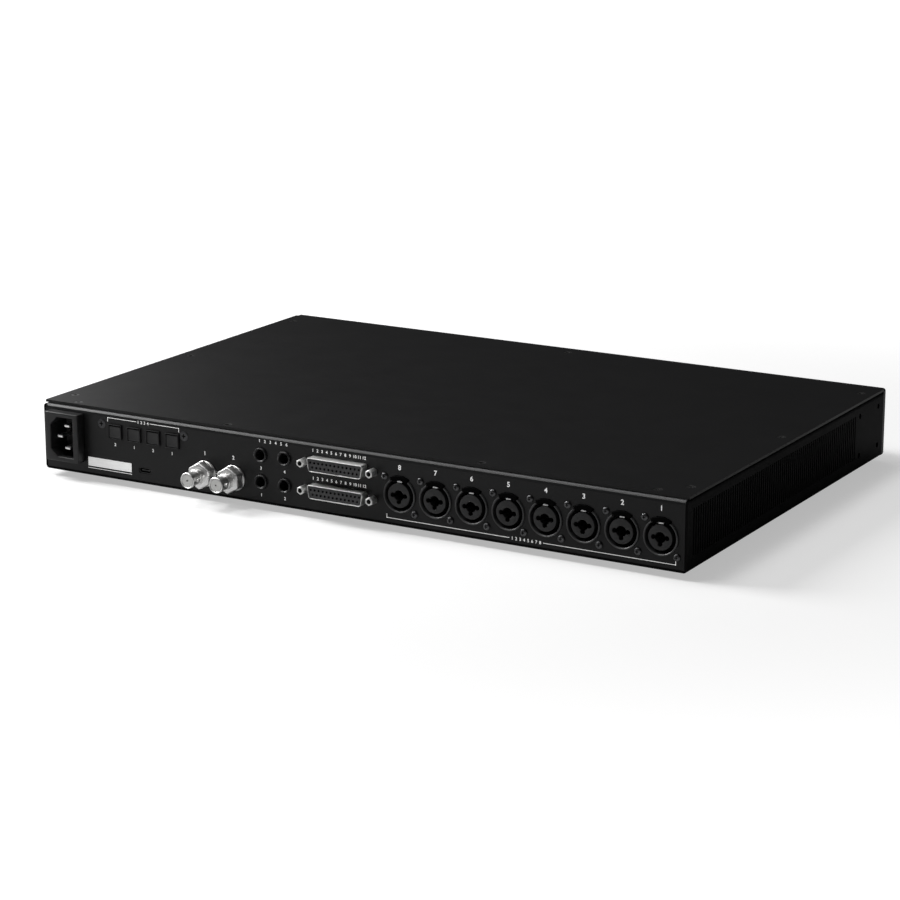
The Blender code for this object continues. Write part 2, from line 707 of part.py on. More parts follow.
def make_bnc(metal):
    """Turned bayonet jacks with a hexagon and a round flange against the panel."""
    tip = BNC_LENGTH
    wall = BNC_BARREL_RADIUS - BNC_BARREL_WALL
    core = tip - BNC_BARREL_WALL
    hexagon_end = FIT + BNC_FLANGE_THICKNESS + BNC_HEX_LENGTH
    collar_end = hexagon_end + BNC_COLLAR_LENGTH
    profile = [
        (0.0, core - BNC_CORE_DEPTH),
        (BNC_CONTACT_RADIUS, core - BNC_CORE_DEPTH),
        (BNC_CONTACT_RADIUS, core),
        (BNC_CORE_RADIUS, core),
        (BNC_CORE_RADIUS, core - BNC_CORE_DEPTH),
        (wall, core - BNC_CORE_DEPTH),
        (wall, tip),
        (BNC_BARREL_RADIUS, tip),
        (BNC_BARREL_RADIUS, collar_end),
        (BNC_COLLAR_RADIUS, collar_end),
        (BNC_COLLAR_RADIUS, FIT + BNC_FLANGE_THICKNESS),
        (BNC_FLANGE_RADIUS, FIT + BNC_FLANGE_THICKNESS),
        (BNC_FLANGE_RADIUS, FIT),
        (BNC_TAIL_RADIUS, FIT),
        (BNC_TAIL_RADIUS, -BNC_TAIL_LENGTH),
        (0.0, -BNC_TAIL_LENGTH),
    ]
    jack = turned(profile, 12)
    nut = prism(hexagon(BNC_HEX_FLATS), "Y", FIT + BNC_FLANGE_THICKNESS / 2, hexagon_end)
    jack = weld(jack, nut)
    reach = BNC_BARREL_RADIUS + BNC_LUG_PROUD
    lug = circle(BNC_LUG_RADIUS, 6, (tip - BNC_LUG_BACK, 0.0))
    inside = BNC_BARREL_RADIUS - BNC_BARREL_WALL / 2
    lugs = joined([prism(lug, "X", inside, reach), prism(lug, "X", -reach, -inside)])
    jack = rounded(weld(jack, lugs))
    for index in range(2):
        place = rear_place(BNC_ALONG + index * BNC_PITCH, BNC_Z)
        add_piece(f"bnc_jack_{index + 1}", jack, metal, place)


def stacked_jack(wall, lower, upper, base):
    """One moulded body with two jack bores, behind a panel of the given thickness."""
    half = JACK_BODY_WIDTH / 2
    behind = -wall - FIT
    body = rectangle(-half, half, base, upper + JACK_RING_RADIUS + JACK_BODY_RIM)
    jack = prism(body, "Y", -wall - JACK_BODY_DEPTH, behind)
    for height in (lower, upper):
        snout = rod(JACK_RING_RADIUS, behind - SHEET, JACK_PROUD, 14)
        jack = weld(jack, moved(snout, (0.0, 0.0, height)))
    for height in (lower, upper):
        bore = rod(JACK_BORE_RADIUS, -wall - JACK_BORE_DEPTH, JACK_PROUD + SHEET, 12)
        jack = cut(jack, moved(bore, (0.0, 0.0, height)))
    return jack


def make_line_jacks(plastic):
    """Two stacked pairs of monitor output jacks standing on the main board."""
    jack = stacked_jack(PANEL_SHEET, 0.0, JACK_ROW_STEP, BOARD_TOP + FIT - JACK_Z)
    for index in range(2):
        place = rear_place(JACK_ALONG + index * JACK_PITCH, JACK_Z)
        add_piece(f"line_jack_{index + 1}", jack, plastic, place)


def make_dsubs(metal, plastic):
    """Pressed shells with their jack screws, and the insulators that hold the contacts."""
    tall = DSUB_FLANGE_HEIGHT / 2
    wide = DSUB_FLANGE_WIDTH / 2
    seat = BEHIND_PANEL - DSUB_FLANGE_THICKNESS
    shell = prism(rectangle(-wide, wide, -tall, tall), "Y", seat, BEHIND_PANEL)
    shell = weld(shell, prism(dsub_outline(0.0), "Y", seat + DSUB_FLANGE_THICKNESS / 2, DSUB_PROUD))
    shell = cut(shell, prism(dsub_outline(DSUB_WALL), "Y", 2 * seat, DSUB_PROUD + SHEET))
    for side in (-1, 1):
        across = side * JACKSCREW_STEP / 2
        stud = rod(JACKSCREW_STUD_RADIUS, seat + DSUB_FLANGE_THICKNESS / 2, JACKSCREW_LENGTH / 2, 8)
        shell = weld(shell, moved(stud, (across, 0.0, 0.0)))
        head = prism(hexagon(JACKSCREW_FLATS, (across, 0.0)), "Y", FIT, JACKSCREW_LENGTH)
        shell = weld(shell, head)
        bottom = JACKSCREW_LENGTH - JACKSCREW_BORE_DEPTH
        bore = rod(JACKSCREW_BORE, bottom, JACKSCREW_LENGTH + SHEET, 8)
        shell = cut(shell, moved(bore, (across, 0.0, 0.0)))
    core = prism(dsub_outline(DSUB_WALL + FIT), "Y", -DSUB_BACK, DSUB_PROUD - DSUB_LIP)
    holes = []
    for row in range(2):
        count = DSUB_LONG_ROW - row
        height = DSUB_PIN_ROWS * (0.5 - row)
        for index in range(count):
            across = (index - (count - 1) / 2) * DSUB_PIN_STEP
            holes.append(circle(DSUB_PIN_RADIUS, 4, (across, height)))
    front = DSUB_PROUD - DSUB_LIP
    core = cut(core, prisms(holes, "Y", front - DSUB_PIN_DEPTH, front + SHEET))
    for row in range(2):
        place = rear_place(DSUB_ALONG, DSUB_Z + row * DSUB_ROW_STEP)
        add_piece(f"dsub_shell_{row + 1}", shell, metal, place)
        add_piece(f"dsub_insulator_{row + 1}", core, plastic, place)


def sector(inner, outer, half, steps):
    """A slice of a ring centred on the top."""
    top = math.pi / 2
    return arc(inner, top - half, top + half, steps) + arc(outer, top + half, top - half, steps)


def make_combos(plastic, latch_plastic):
    """Round sockets that take a three pin plug in a ring groove or a jack in the middle."""
    half = COMBO_BODY_WIDTH / 2
    base = BOARD_TOP + FIT - COMBO_Z
    crown = LATCH_RADIUS + FIT + COMBO_BODY_RIM
    socket = prism(rectangle(-half, half, base, crown), "Y", -COMBO_BODY_DEPTH, BEHIND_PANEL)
    socket = weld(socket, rod(COMBO_RING_RADIUS, BEHIND_PANEL - SHEET, COMBO_PROUD, COMBO_SEGMENTS))
    front = COMBO_PROUD + SHEET
    groove = [
        (COMBO_GROOVE_INNER, front),
        (COMBO_GROOVE_OUTER, front),
        (COMBO_GROOVE_OUTER, -COMBO_GROOVE_DEPTH),
        (COMBO_GROOVE_INNER, -COMBO_GROOVE_DEPTH),
    ]
    socket = cut(socket, turned(groove, COMBO_SEGMENTS, ring=True))
    lobes = [
        circle(COMBO_LOBE_RADIUS, 6, (-COMBO_LOBE_SIDE, 0.0)),
        circle(COMBO_LOBE_RADIUS, 6, (COMBO_LOBE_SIDE, 0.0)),
        circle(COMBO_LOBE_RADIUS, 6, (0.0, -COMBO_LOBE_LOW)),
    ]
    socket = cut(socket, prisms(lobes, "Y", -COMBO_LOBE_DEPTH, front))
    socket = cut(socket, rod(COMBO_BORE_RADIUS, -COMBO_BORE_DEPTH, front, 12))
    room = LATCH_LENGTH + LATCH_TRAVEL + FIT
    slide_way = sector(LATCH_INNER - FIT, LATCH_RADIUS + FIT, LATCH_ANGLE + FIT / LATCH_RADIUS, LATCH_STEPS)
    socket = cut(socket, prism(slide_way, "Y", -room, front))
    tab = sector(LATCH_INNER, LATCH_RADIUS, LATCH_ANGLE - FIT / LATCH_RADIUS, LATCH_STEPS)
    latch = prism(tab, "Y", -LATCH_LENGTH, LATCH_PROUD)
    middle = (LATCH_INNER + LATCH_RADIUS) / 2
    tongue = rectangle(-TONGUE_WIDTH / 2, TONGUE_WIDTH / 2, COMBO_GROOVE_INNER + FIT, middle)
    latch = weld(latch, prism(tongue, "Y", FIT - LATCH_LENGTH, -TONGUE_RECESS))
    rounded(socket)
    for index in range(COMBO_COUNT):
        number = COMBO_COUNT - index
        place = rear_place(COMBO_ALONG + index * COMBO_PITCH, COMBO_Z)
        add_piece(f"combo_socket_{number}", socket, plastic, place)
        add_piece(f"combo_latch_{number}", latch, latch_plastic, place)


def standoffs(left, right, front, rear):
    """Four pillars that carry a board over the floor."""
    pillars = []
    for across in (left + STANDOFF_INSET, right - STANDOFF_INSET):
        for along in (front + STANDOFF_INSET, rear - STANDOFF_INSET):
            pillars.append(circle(STANDOFF_RADIUS, 8, (across, along)))
    return prisms(pillars, "Z", FLOOR_TOP + FIT, BOARD_TOP - BOARD_THICKNESS / 2)


def make_boards(laminate):
    """The audio board behind the sockets and the power supply board behind the inlet."""
    rear = REAR_FACE - PANEL_SHEET - BOARD_WALL_GAP
    inside = HALF_WIDTH - SHEET - BOARD_WALL_GAP
    split = HALF_WIDTH - INLET_MARGIN - INLET_WIDTH - OPTICAL_GAP / 2
    plates = (
        ("main_board", -inside, split - BOARD_WALL_GAP / 2, rear - MAIN_BOARD_DEPTH, rear),
        ("power_board", split + BOARD_WALL_GAP / 2, inside, rear - POWER_BOARD_DEPTH, rear),
    )
    for name, left, right, front, back in plates:
        plate = rectangle(left, right, front, back)
        board = prism(plate, "Z", BOARD_TOP - BOARD_THICKNESS, BOARD_TOP)
        add_piece(name, weld(board, standoffs(left, right, front, back)), laminate)


def knob(radius, length):
    """A tapered knob with a pointer groove and the shaft that goes through the fascia."""
    tail = FIT - FASCIA_THICKNESS - CONTROL_BOARD_GAP
    profile = [
        (0.0, length),
        (radius - 2 * KNOB_TAPER, length),
        (radius - KNOB_TAPER, length - KNOB_TAPER),
        (radius, FIT),
        (KNOB_SHAFT_RADIUS, FIT),
        (KNOB_SHAFT_RADIUS, tail),
        (0.0, tail),
    ]
    shape = turned(profile, KNOB_SEGMENTS)
    groove = rectangle(-POINTER_WIDTH / 2, POINTER_WIDTH / 2, radius / 2, radius + KNOB_TAPER)
    shape = cut(shape, prism(groove, "Y", length - POINTER_DEPTH, length + KNOB_TAPER))
    return rounded(shape)


def button(width, height):
    """A cap that slides in the fascia, with a flange behind it and a stem to its switch."""
    cap = soft_rectangle(width, height, BUTTON_CORNER, 1)
    shape = prism(cap, "Y", -FASCIA_THICKNESS - BUTTON_FLANGE, BUTTON_PROUD)
    rim = BUTTON_FLANGE
    flange = rectangle(-rim - width / 2, rim + width / 2, -rim - height / 2, rim + height / 2)
    behind = -FASCIA_THICKNESS - FIT
    shape = weld(shape, prism(flange, "Y", behind - BUTTON_FLANGE, behind))
    board = -FASCIA_THICKNESS - CONTROL_BOARD_GAP
    stem = rod(BUTTON_STEM_RADIUS, board + BUTTON_TRAVEL + FIT, behind - BUTTON_FLANGE / 2, 8)
    return weld(shape, stem)


def front_layout():
    """Places of the controls along the fascia, from its left end as the user faces it."""
    places = {}
    cursor = -HALF_WIDTH + FRONT_MARGIN
    for index in range(GAIN_COUNT):
        places[f"gain_knob_{index + 1}"] = cursor + GAIN_RADIUS
        cursor += 2 * GAIN_RADIUS + GAIN_SPACE
    cursor += FRONT_GAP - GAIN_SPACE
    for index in range(BUTTON_COUNT):
        places[f"function_button_{index + 1}"] = cursor + BUTTON_WIDTH / 2
        cursor += BUTTON_WIDTH + BUTTON_SPACE
    cursor += FRONT_GAP - BUTTON_SPACE
    places["monitor_knob"] = cursor + MONITOR_RADIUS
    cursor += 2 * MONITOR_RADIUS + FRONT_GAP
    for index in range(PHONES_COUNT):
        places[f"phones_knob_{index + 1}"] = cursor + GAIN_RADIUS
        cursor += 2 * GAIN_RADIUS + PHONES_GAP
    cursor += FRONT_GAP - PHONES_GAP
    places["phones_jack"] = cursor + JACK_BODY_WIDTH / 2
    cursor += JACK_BODY_WIDTH + FRONT_GAP / 2
    places["power_button"] = cursor + POWER_WIDTH / 2
    return places


def make_fascia(alloy, plastic, cap, laminate):
    """Thick front plate with its knobs, buttons, headphone jacks and control board."""
    places = front_layout()
    plate = soft_rectangle(CHASSIS_WIDTH, CHASSIS_HEIGHT, FASCIA_CORNER, 2)
    plate = [(across, up + FASCIA_Z) for across, up in plate]
    shape = bmesh.new()
    add_prism(shape, plate, "Y", FRONT_FACE, FRONT_FACE + FASCIA_THICKNESS)
    rim = []
    for edge in shape.edges:
        if all(abs(vert.co.y - FRONT_FACE) < FIT for vert in edge.verts):
            rim.append(edge)
    bmesh.ops.bevel(shape, geom=rim, offset=FASCIA_EDGE, segments=2, profile=0.5, affect="EDGES")
    fascia = to_mesh(shape)
    meshes = {
        "gain": knob(GAIN_RADIUS, GAIN_LENGTH),
        "phones": knob(GAIN_RADIUS, GAIN_LENGTH),
        "monitor": knob(MONITOR_RADIUS, MONITOR_LENGTH),
        "function": button(BUTTON_WIDTH, BUTTON_HEIGHT),
        "power": button(POWER_WIDTH, POWER_HEIGHT),
    }
    board_face = FASCIA_THICKNESS + CONTROL_BOARD_GAP
    board_low = CASE_FLOOR + CONTROL_BOARD_SILL
    board_high = board_low + CONTROL_BOARD_HEIGHT
    holes = []
    for name, across in places.items():
        kind = name.split("_")[0]
        if name.endswith("jack"):
            lower = FASCIA_Z - JACK_ROW_STEP / 2
            for height in (lower, lower + JACK_ROW_STEP):
                holes.append(circle(JACK_RING_RADIUS + FIT, 14, (across, height)))
            base = FLOOR_TOP + BOARD_LIFT - lower
            jack = stacked_jack(FASCIA_THICKNESS, 0.0, JACK_ROW_STEP, base)
            add_piece(name, jack, plastic, (across, FRONT_FACE, lower), math.pi)
            continue
        if "button" in name:
            wide, high = (POWER_WIDTH, POWER_HEIGHT) if kind == "power" else (BUTTON_WIDTH, BUTTON_HEIGHT)
            hole = soft_rectangle(wide + 2 * FIT, high + 2 * FIT, BUTTON_CORNER + FIT, 1)
            holes.append([(x + across, z + FASCIA_Z) for x, z in hole])
        else:
            holes.append(circle(KNOB_SHAFT_RADIUS + FIT, 8, (across, FASCIA_Z)))
        add_piece(name, meshes[kind], cap, (across, FRONT_FACE, FASCIA_Z), math.pi)
    fascia = cut(fascia, prisms(holes, "Y", FRONT_FACE - SHEET, CASE_FRONT + SHEET))
    add_piece("front_panel", fascia, alloy)
    board_end = places["phones_jack"] - JACK_BODY_WIDTH / 2 - BOARD_WALL_GAP
    board_start = places["gain_knob_1"] - GAIN_RADIUS - STANDOFF_INSET
    face = FRONT_FACE + board_face
    plate = rectangle(board_start, board_end, board_low, board_high)
    board = prism(plate, "Y", face, face + BOARD_THICKNESS)
    posts = []
    for across in (board_start + STANDOFF_RADIUS, board_end - STANDOFF_RADIUS):
        for height in (board_low + STANDOFF_RADIUS, board_high - STANDOFF_RADIUS):
            posts.append(circle(CONTROL_POST_RADIUS, 8, (across, height)))
    board = weld(board, prisms(posts, "Y", CASE_FRONT, face + BOARD_THICKNESS / 2))
    add_piece("control_board", board, laminate)


for each in list(bpy.data.objects):
    bpy.data.objects.remove(each)

make_tray(finish("tray_powder_coat", (0.018, 0.018, 0.020), 0.50))
make_rear_panel(finish("panel_powder_coat", (0.022, 0.022, 0.024), 0.46))
make_cover(finish("cover_powder_coat", (0.020, 0.020, 0.022), 0.48))
make_feet(finish("foot_rubber", (0.012, 0.012, 0.012), 0.80))
make_inlet(finish("inlet_plastic", (0.014, 0.014, 0.015), 0.42))
make_optical(
    finish("optical_plastic", (0.016, 0.016, 0.017), 0.40),
    finish("shutter_plastic", (0.020, 0.020, 0.021), 0.36),
)
make_usb(finish("socket_steel", (0.62, 0.62, 0.63), 0.30, 1.0))
make_bnc(finish("nickel_plate", (0.72, 0.71, 0.68), 0.24, 1.0))
make_line_jacks(finish("jack_plastic", (0.015, 0.015, 0.016), 0.44))
make_dsubs(
    finish("tin_plate", (0.70, 0.70, 0.70), 0.32, 1.0),
    finish("insulator_plastic", (0.030, 0.030, 0.032), 0.50),
)
make_combos(
    finish("combo_plastic", (0.016, 0.016, 0.017), 0.38),
    finish("latch_plastic", (0.014, 0.014, 0.015), 0.34),
)
make_boards(finish("board_laminate", (0.020, 0.120, 0.060), 0.45))
make_fascia(
    finish("fascia_anodised", (0.030, 0.030, 0.033), 0.36, 0.6),
    finish("phones_plastic", (0.015, 0.015, 0.016), 0.44),
    finish("knob_plastic", (0.022, 0.022, 0.023), 0.40),
    finish("control_laminate", (0.020, 0.120, 0.060), 0.45),
)
bpy.context.view_layer.update()
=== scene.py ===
import json
import math

import bmesh
import bpy
from mathutils import Matrix, Vector


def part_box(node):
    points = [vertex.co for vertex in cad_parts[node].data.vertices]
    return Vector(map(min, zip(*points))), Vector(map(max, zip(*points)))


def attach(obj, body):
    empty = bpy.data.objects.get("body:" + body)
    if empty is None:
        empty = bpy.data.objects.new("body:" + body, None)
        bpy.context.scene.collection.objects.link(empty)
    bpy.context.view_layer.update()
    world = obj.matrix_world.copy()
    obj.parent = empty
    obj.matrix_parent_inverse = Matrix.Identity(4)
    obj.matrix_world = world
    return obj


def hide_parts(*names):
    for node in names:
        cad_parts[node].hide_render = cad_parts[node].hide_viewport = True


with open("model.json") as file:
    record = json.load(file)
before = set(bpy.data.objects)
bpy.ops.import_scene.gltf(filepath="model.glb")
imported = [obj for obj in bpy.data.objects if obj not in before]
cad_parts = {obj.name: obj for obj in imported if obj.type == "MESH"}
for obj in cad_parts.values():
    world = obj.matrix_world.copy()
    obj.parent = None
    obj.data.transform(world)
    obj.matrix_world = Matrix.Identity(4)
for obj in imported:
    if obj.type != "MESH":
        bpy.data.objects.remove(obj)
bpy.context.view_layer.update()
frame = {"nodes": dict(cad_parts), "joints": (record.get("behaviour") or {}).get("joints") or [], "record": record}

# Base tray: the floor and both slotted side walls are folded from one steel sheet.
# It is powder coated satin black, with a fine orange peel and a little dust on the flats.
# The bent edges catch the light where the coat is thinnest.
NOISE_SPAN = (0.3, 0.7)


def node_material(name):
    """An empty node material and its shader."""
    material = bpy.data.materials.new(name)
    material.use_nodes = True
    tree = material.node_tree
    shader = tree.nodes["Principled BSDF"]
    place = tree.nodes.new("ShaderNodeTexCoord")
    return material, tree, shader, place.outputs["Object"]


def noise(tree, place, scale, detail=3.0, stretch=None):
    """A noise field in metres, stretched along an axis where asked."""
    if stretch:
        mapping = tree.nodes.new("ShaderNodeMapping")
        mapping.inputs["Scale"].default_value = stretch
        tree.links.new(place, mapping.inputs["Vector"])
        place = mapping.outputs["Vector"]
    field = tree.nodes.new("ShaderNodeTexNoise")
    field.inputs["Scale"].default_value = scale
    field.inputs["Detail"].default_value = detail
    tree.links.new(place, field.inputs["Vector"])
    return field.outputs["Fac"]


def shade_between(tree, field, dark, light, socket):
    """Drive a colour from a noise field."""
    ramp = tree.nodes.new("ShaderNodeValToRGB")
    for stop, position, tone in zip(ramp.color_ramp.elements, NOISE_SPAN, (dark, light)):
        stop.position = position
        stop.color = (*tone, 1.0)
    tree.links.new(field, ramp.inputs["Fac"])
    tree.links.new(ramp.outputs["Color"], socket)


def remap(tree, value, source, target, socket):
    """Carry a number from one range to another, and on to a socket."""
    node = tree.nodes.new("ShaderNodeMapRange")
    for end, level in zip(("From Min", "From Max", "To Min", "To Max"), (*source, *target)):
        node.inputs[end].default_value = level
    tree.links.new(value, node.inputs["Value"])
    tree.links.new(node.outputs["Result"], socket)
    return node


def bump_from(tree, field, strength, height, shader):
    """Raise a noise field as a fine relief."""
    bump = tree.nodes.new("ShaderNodeBump")
    bump.inputs["Strength"].default_value = strength
    bump.inputs["Distance"].default_value = height
    tree.links.new(field, bump.inputs["Height"])
    tree.links.new(bump.outputs["Normal"], shader.inputs["Normal"])


def finish(name, tones, rough, scales, relief, detail=3.0, stretch=None):
    """A finish whose tone, roughness and fine relief each follow a noise field."""
    material, tree, shader, place = node_material(name)
    clouds = noise(tree, place, scales[0])
    sheen = noise(tree, place, scales[1], detail, stretch)
    grain = noise(tree, place, scales[2], 2.0, stretch)
    shade_between(tree, clouds, *tones, shader.inputs["Base Color"])
    remap(tree, sheen, NOISE_SPAN, rough, shader.inputs["Roughness"])
    bump_from(tree, grain, *relief, shader)
    return material, shader


def powder_coat(name, dark, light, rough, gloss=0.32):
    """Textured black paint over steel."""
    spread = (rough - 0.015, rough + 0.015)
    material, shader = finish(name, (dark, light), spread, (18.0, 60.0, 1500.0), (0.20, 0.00006))
    shader.inputs["Specular IOR Level"].default_value = gloss
    return material


def dress(node, material):
    """Give a solid of the frame its finish."""
    mesh = frame["nodes"][node].data
    mesh.materials.clear()
    mesh.materials.append(material)


# Painted shade: the tray's copy of the coat is set darker than the panel's, so its side walls read darker than the
# lamps leave them.
TRAY_SHADED_TONES = ((0.0044, 0.0044, 0.0046), (0.0054, 0.0054, 0.0056))
tray_coat = powder_coat("tray_coat", *TRAY_SHADED_TONES, rough=0.46, gloss=0.03)
dress("base_tray", tray_coat)

# Feet: four black rubber feet screwed under the tray.
# Each is a turned disc with a drawn in edge and a hole for its screw.
# The rubber is matt, with a soft grain.
scene = bpy.context.scene


def spun(profile, steps=48, sweep=2 * math.pi, start=0.0):
    """Spin a profile of (radius, y) points about the Y axis."""
    shape = bmesh.new()
    points = [shape.verts.new((radius, along, 0.0)) for radius, along in profile]
    edges = [shape.edges.new(pair) for pair in zip(points, points[1:])]
    full = sweep > 2 * math.pi - 0.001
    if start:
        turn = Matrix.Rotation(-start, 3, "Y")
        bmesh.ops.rotate(shape, verts=points, cent=(0, 0, 0), matrix=turn)
    bmesh.ops.spin(
        shape,
        geom=points + edges,
        cent=(0.0, 0.0, 0.0),
        axis=(0.0, -1.0, 0.0),
        angle=sweep,
        steps=steps,
        use_merge=full,
    )
    bmesh.ops.remove_doubles(shape, verts=shape.verts[:], dist=0.000002)
    bmesh.ops.recalc_face_normals(shape, faces=shape.faces[:])
    return shape


def soften(shape, width, segments=2, angle=30.0):
    """Round every edge that is sharper than an angle."""
    sharp = []
    for edge in shape.edges:
        if len(edge.link_faces) == 2 and edge.calc_face_angle(0.0) > math.radians(angle):
            sharp.append(edge)
    bmesh.ops.bevel(
        shape,
        geom=sharp,
        offset=width,
        segments=segments,
        profile=0.5,
        affect="EDGES",
        material=-1,
        clamp_overlap=True,
    )


def joined(shapes):
    """One shape from several, which are used up."""
    whole = bmesh.new()
    for shape in shapes:
        mesh = bpy.data.meshes.new("share")
        shape.to_mesh(mesh)
        shape.free()
        whole.from_mesh(mesh)
        bpy.data.meshes.remove(mesh)
    return whole


def copies(shape, places, turn=0.0):
    """One shape with a copy set down at each place."""
    group = []
    for place in places:
        fresh = shape.copy()
        matrix = Matrix.Translation(place) @ Matrix.Rotation(turn, 4, "Z")
        bmesh.ops.transform(fresh, matrix=matrix, verts=fresh.verts[:])
        group.append(fresh)
    shape.free()
    return joined(group)


def fit(name, shape, material, body, nodes=(), angle=32.0):
    """Turn a finished shape into a piece that rides on a body of the frame."""
    mesh = bpy.data.meshes.new(name)
    shape.to_mesh(mesh)
    shape.free()
    mesh.materials.append(material)
    mesh.shade_smooth()
    mesh.set_sharp_from_angle(angle=math.radians(angle))
    piece = bpy.data.objects.new(name, mesh)
    scene.collection.objects.link(piece)
    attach(piece, body)
    if nodes:
        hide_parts(*nodes)
    return piece


def moulded(name, dark, light, rough, grain=2200.0, relief=0.10):
    """Moulded plastic or rubber with a fine spark grain."""
    spread = (rough - 0.05, rough + 0.05)
    return finish(name, (dark, light), spread, (140.0, 300.0, grain), (relief, 0.00005))[0]


RUBBER_TONES = ((0.010, 0.010, 0.010), (0.016, 0.016, 0.016))
foot_rubber = moulded("foot_rubber", *RUBBER_TONES, rough=0.78, grain=1200.0, relief=0.3)
FOOT_SCREW_RADIUS = 0.0032
FOOT_SCREW_DEPTH = 0.0022
for number in range(1, 5):
    low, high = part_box(f"foot_{number}")
    centre = (low + high) / 2
    radius = (high.x - low.x) / 2
    tall = high.z - low.z
    profile = [
        (0.0, FOOT_SCREW_DEPTH),
        (FOOT_SCREW_RADIUS, FOOT_SCREW_DEPTH),
        (FOOT_SCREW_RADIUS, 0.0),
        (radius - tall / 4, 0.0),
        (radius, tall),
        (0.0, tall),
    ]
    foot = spun(profile, steps=40)
    soften(foot, width=0.0004, segments=3)
    upright = Matrix.Translation((centre.x, centre.y, low.z)) @ Matrix.Rotation(math.pi / 2, 4, "X")
    bmesh.ops.transform(foot, matrix=upright, verts=foot.verts[:])
    fit(f"foot_{number}_rubber", foot, foot_rubber, "case", [f"foot_{number}"])

# Circuit boards: green solder mask on glass laminate, on pillars over the floor.
# They show only as a glint through the side slots.
# The mask has the faint pattern of the copper under it.


def solder_mask(name):
    """Green mask over copper areas."""
    material, tree, shader, place = node_material(name)
    cells = tree.nodes.new("ShaderNodeTexVoronoi")
    cells.feature = "F1"
    cells.distance = "CHEBYCHEV"
    cells.inputs["Scale"].default_value = 160.0
    tree.links.new(place, cells.inputs["Vector"])
    copper = cells.outputs["Distance"]
    sheen = noise(tree, place, scale=90.0)
    shade_between(tree, copper, (0.008, 0.070, 0.030), (0.014, 0.110, 0.050), shader.inputs["Base Color"])
    remap(tree, sheen, NOISE_SPAN, (0.34, 0.48), shader.inputs["Roughness"])
    return material


mask = solder_mask("solder_mask")
for node in ("main_board", "power_board", "control_board"):
    dress(node, mask)

# Rear panel: flat steel with every connector opening and a folded lip under the cover.
# The same satin black coat as the tray carries the white print; the tray's copy is set darker, as painted shade.
# The bend along its top shows as a bright line under the cover, lit by a lamp and helped by a painted highlight in
# the coat's colour.
panel_coat = powder_coat("panel_coat", (0.0058, 0.0058, 0.0062), (0.0068, 0.0068, 0.0072), rough=0.42)
BEND_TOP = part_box("rear_panel")[1].z
# Painted highlight: near the top of the panel the coat's colour fades to a pale grey along the bend.
BEND_HIGHLIGHT_FADE = (0.0010, 0.0003)
BEND_HIGHLIGHT_TONE = (0.085, 0.085, 0.087, 1.0)


def thin_bend(material):
    """Paint a pale highlight into the coat's colour along the panel's top bend."""
    tree = material.node_tree
    colour = tree.nodes["Principled BSDF"].inputs["Base Color"]
    coat = colour.links[0].from_socket
    place = tree.nodes.new("ShaderNodeTexCoord")
    parts = tree.nodes.new("ShaderNodeSeparateXYZ")
    tree.links.new(place.outputs["Object"], parts.inputs["Vector"])
    highlight = tree.nodes.new("ShaderNodeMix")
    highlight.data_type = "RGBA"
    highlight.inputs["B"].default_value = BEND_HIGHLIGHT_TONE
    fade = [BEND_TOP - below for below in BEND_HIGHLIGHT_FADE]
    remap(tree, parts.outputs["Z"], fade, (0.0, 1.0), highlight.inputs["Factor"])
    tree.links.new(coat, highlight.inputs["A"])
    tree.links.new(highlight.outputs["Result"], colour)


thin_bend(panel_coat)
dress("rear_panel", panel_coat)
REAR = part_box("rear_panel")[1].y
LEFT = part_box("base_tray")[1].x
CASE_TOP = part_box("top_cover")[1].z
openings = {each["name"]: each["box_m"] for each in frame["record"]["physics"]["openings"]}


def axis_of(opening, along=REAR):
    """The middle of an opening's box, where the axis of its bore meets a panel."""
    low, high = openings[opening]
    return Vector(((low[0] + high[0]) / 2, along, (low[2] + high[2]) / 2))


def middle_of(node):
    """The middle of a solid's box, set on the face of the rear panel."""
    low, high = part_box(node)
    return Vector(((low.x + high.x) / 2, REAR, (low.z + high.z) / 2))


def on_panel(along, down):
    """A point of the rear panel, from its mains end and from the top of the case."""
    return Vector((LEFT - along, REAR, CASE_TOP - down))


def shift(shape, place):
    """Move a whole shape to its place."""
    bmesh.ops.translate(shape, verts=shape.verts[:], vec=place)
    return shape


# Mains inlet: a moulded black bezel that stands out from the panel, with a keyed mouth.
# Two corners of the mouth are cut off on the earth side.
# Three nickel plated blades stand in it.
INLET_ROUND = 0.0006
INLET_MARGIN = 0.0024
INLET_MOUTH = (0.0168, 0.0250)
INLET_KEY = 0.0050
INLET_DEEP = 0.0163
INLET_BODY = (0.86, 1.0, 0.86)
INLET_BACK = 0.0010
PANEL_GAP = 0.0001
BLADE_SIZE = (0.0040, 0.0018)
BLADE_BACK = 0.0030
BLADE_ROOT = 0.0008
BLADES = ((0.0032, 0.0), (-0.0023, 0.0070), (-0.0023, -0.0070))
inlet_low, inlet_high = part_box("mains_inlet")
inlet_high.x -= INLET_MARGIN
inlet_centre = Vector(((inlet_low.x + inlet_high.x) / 2, REAR, (inlet_low.z + inlet_high.z) / 2))
inlet_proud = inlet_high.y - REAR


def flat_face(points, along):
    """A single flat face in the XZ plane from a few corners."""
    shape = bmesh.new()
    corners = [shape.verts.new((across, along, up)) for across, up in points]
    face = shape.faces.new(corners)
    return shape, face


def only(items, kind):
    """The items of one kind."""
    return [item for item in items if isinstance(item, kind)]


def pull(shape, face, distance):
    """Extrude a face along Y and hand the moved face back."""
    lone = all(len(edge.link_faces) == 1 for edge in face.edges)
    grown = bmesh.ops.extrude_face_region(shape, geom=[face])["geom"]
    moved = only(grown, bmesh.types.BMVert)
    bmesh.ops.translate(shape, verts=moved, vec=(0.0, distance, 0.0))
    if not lone:
        bmesh.ops.delete(shape, geom=[face], context="FACES_ONLY")
    return only(grown, bmesh.types.BMFace)[0]


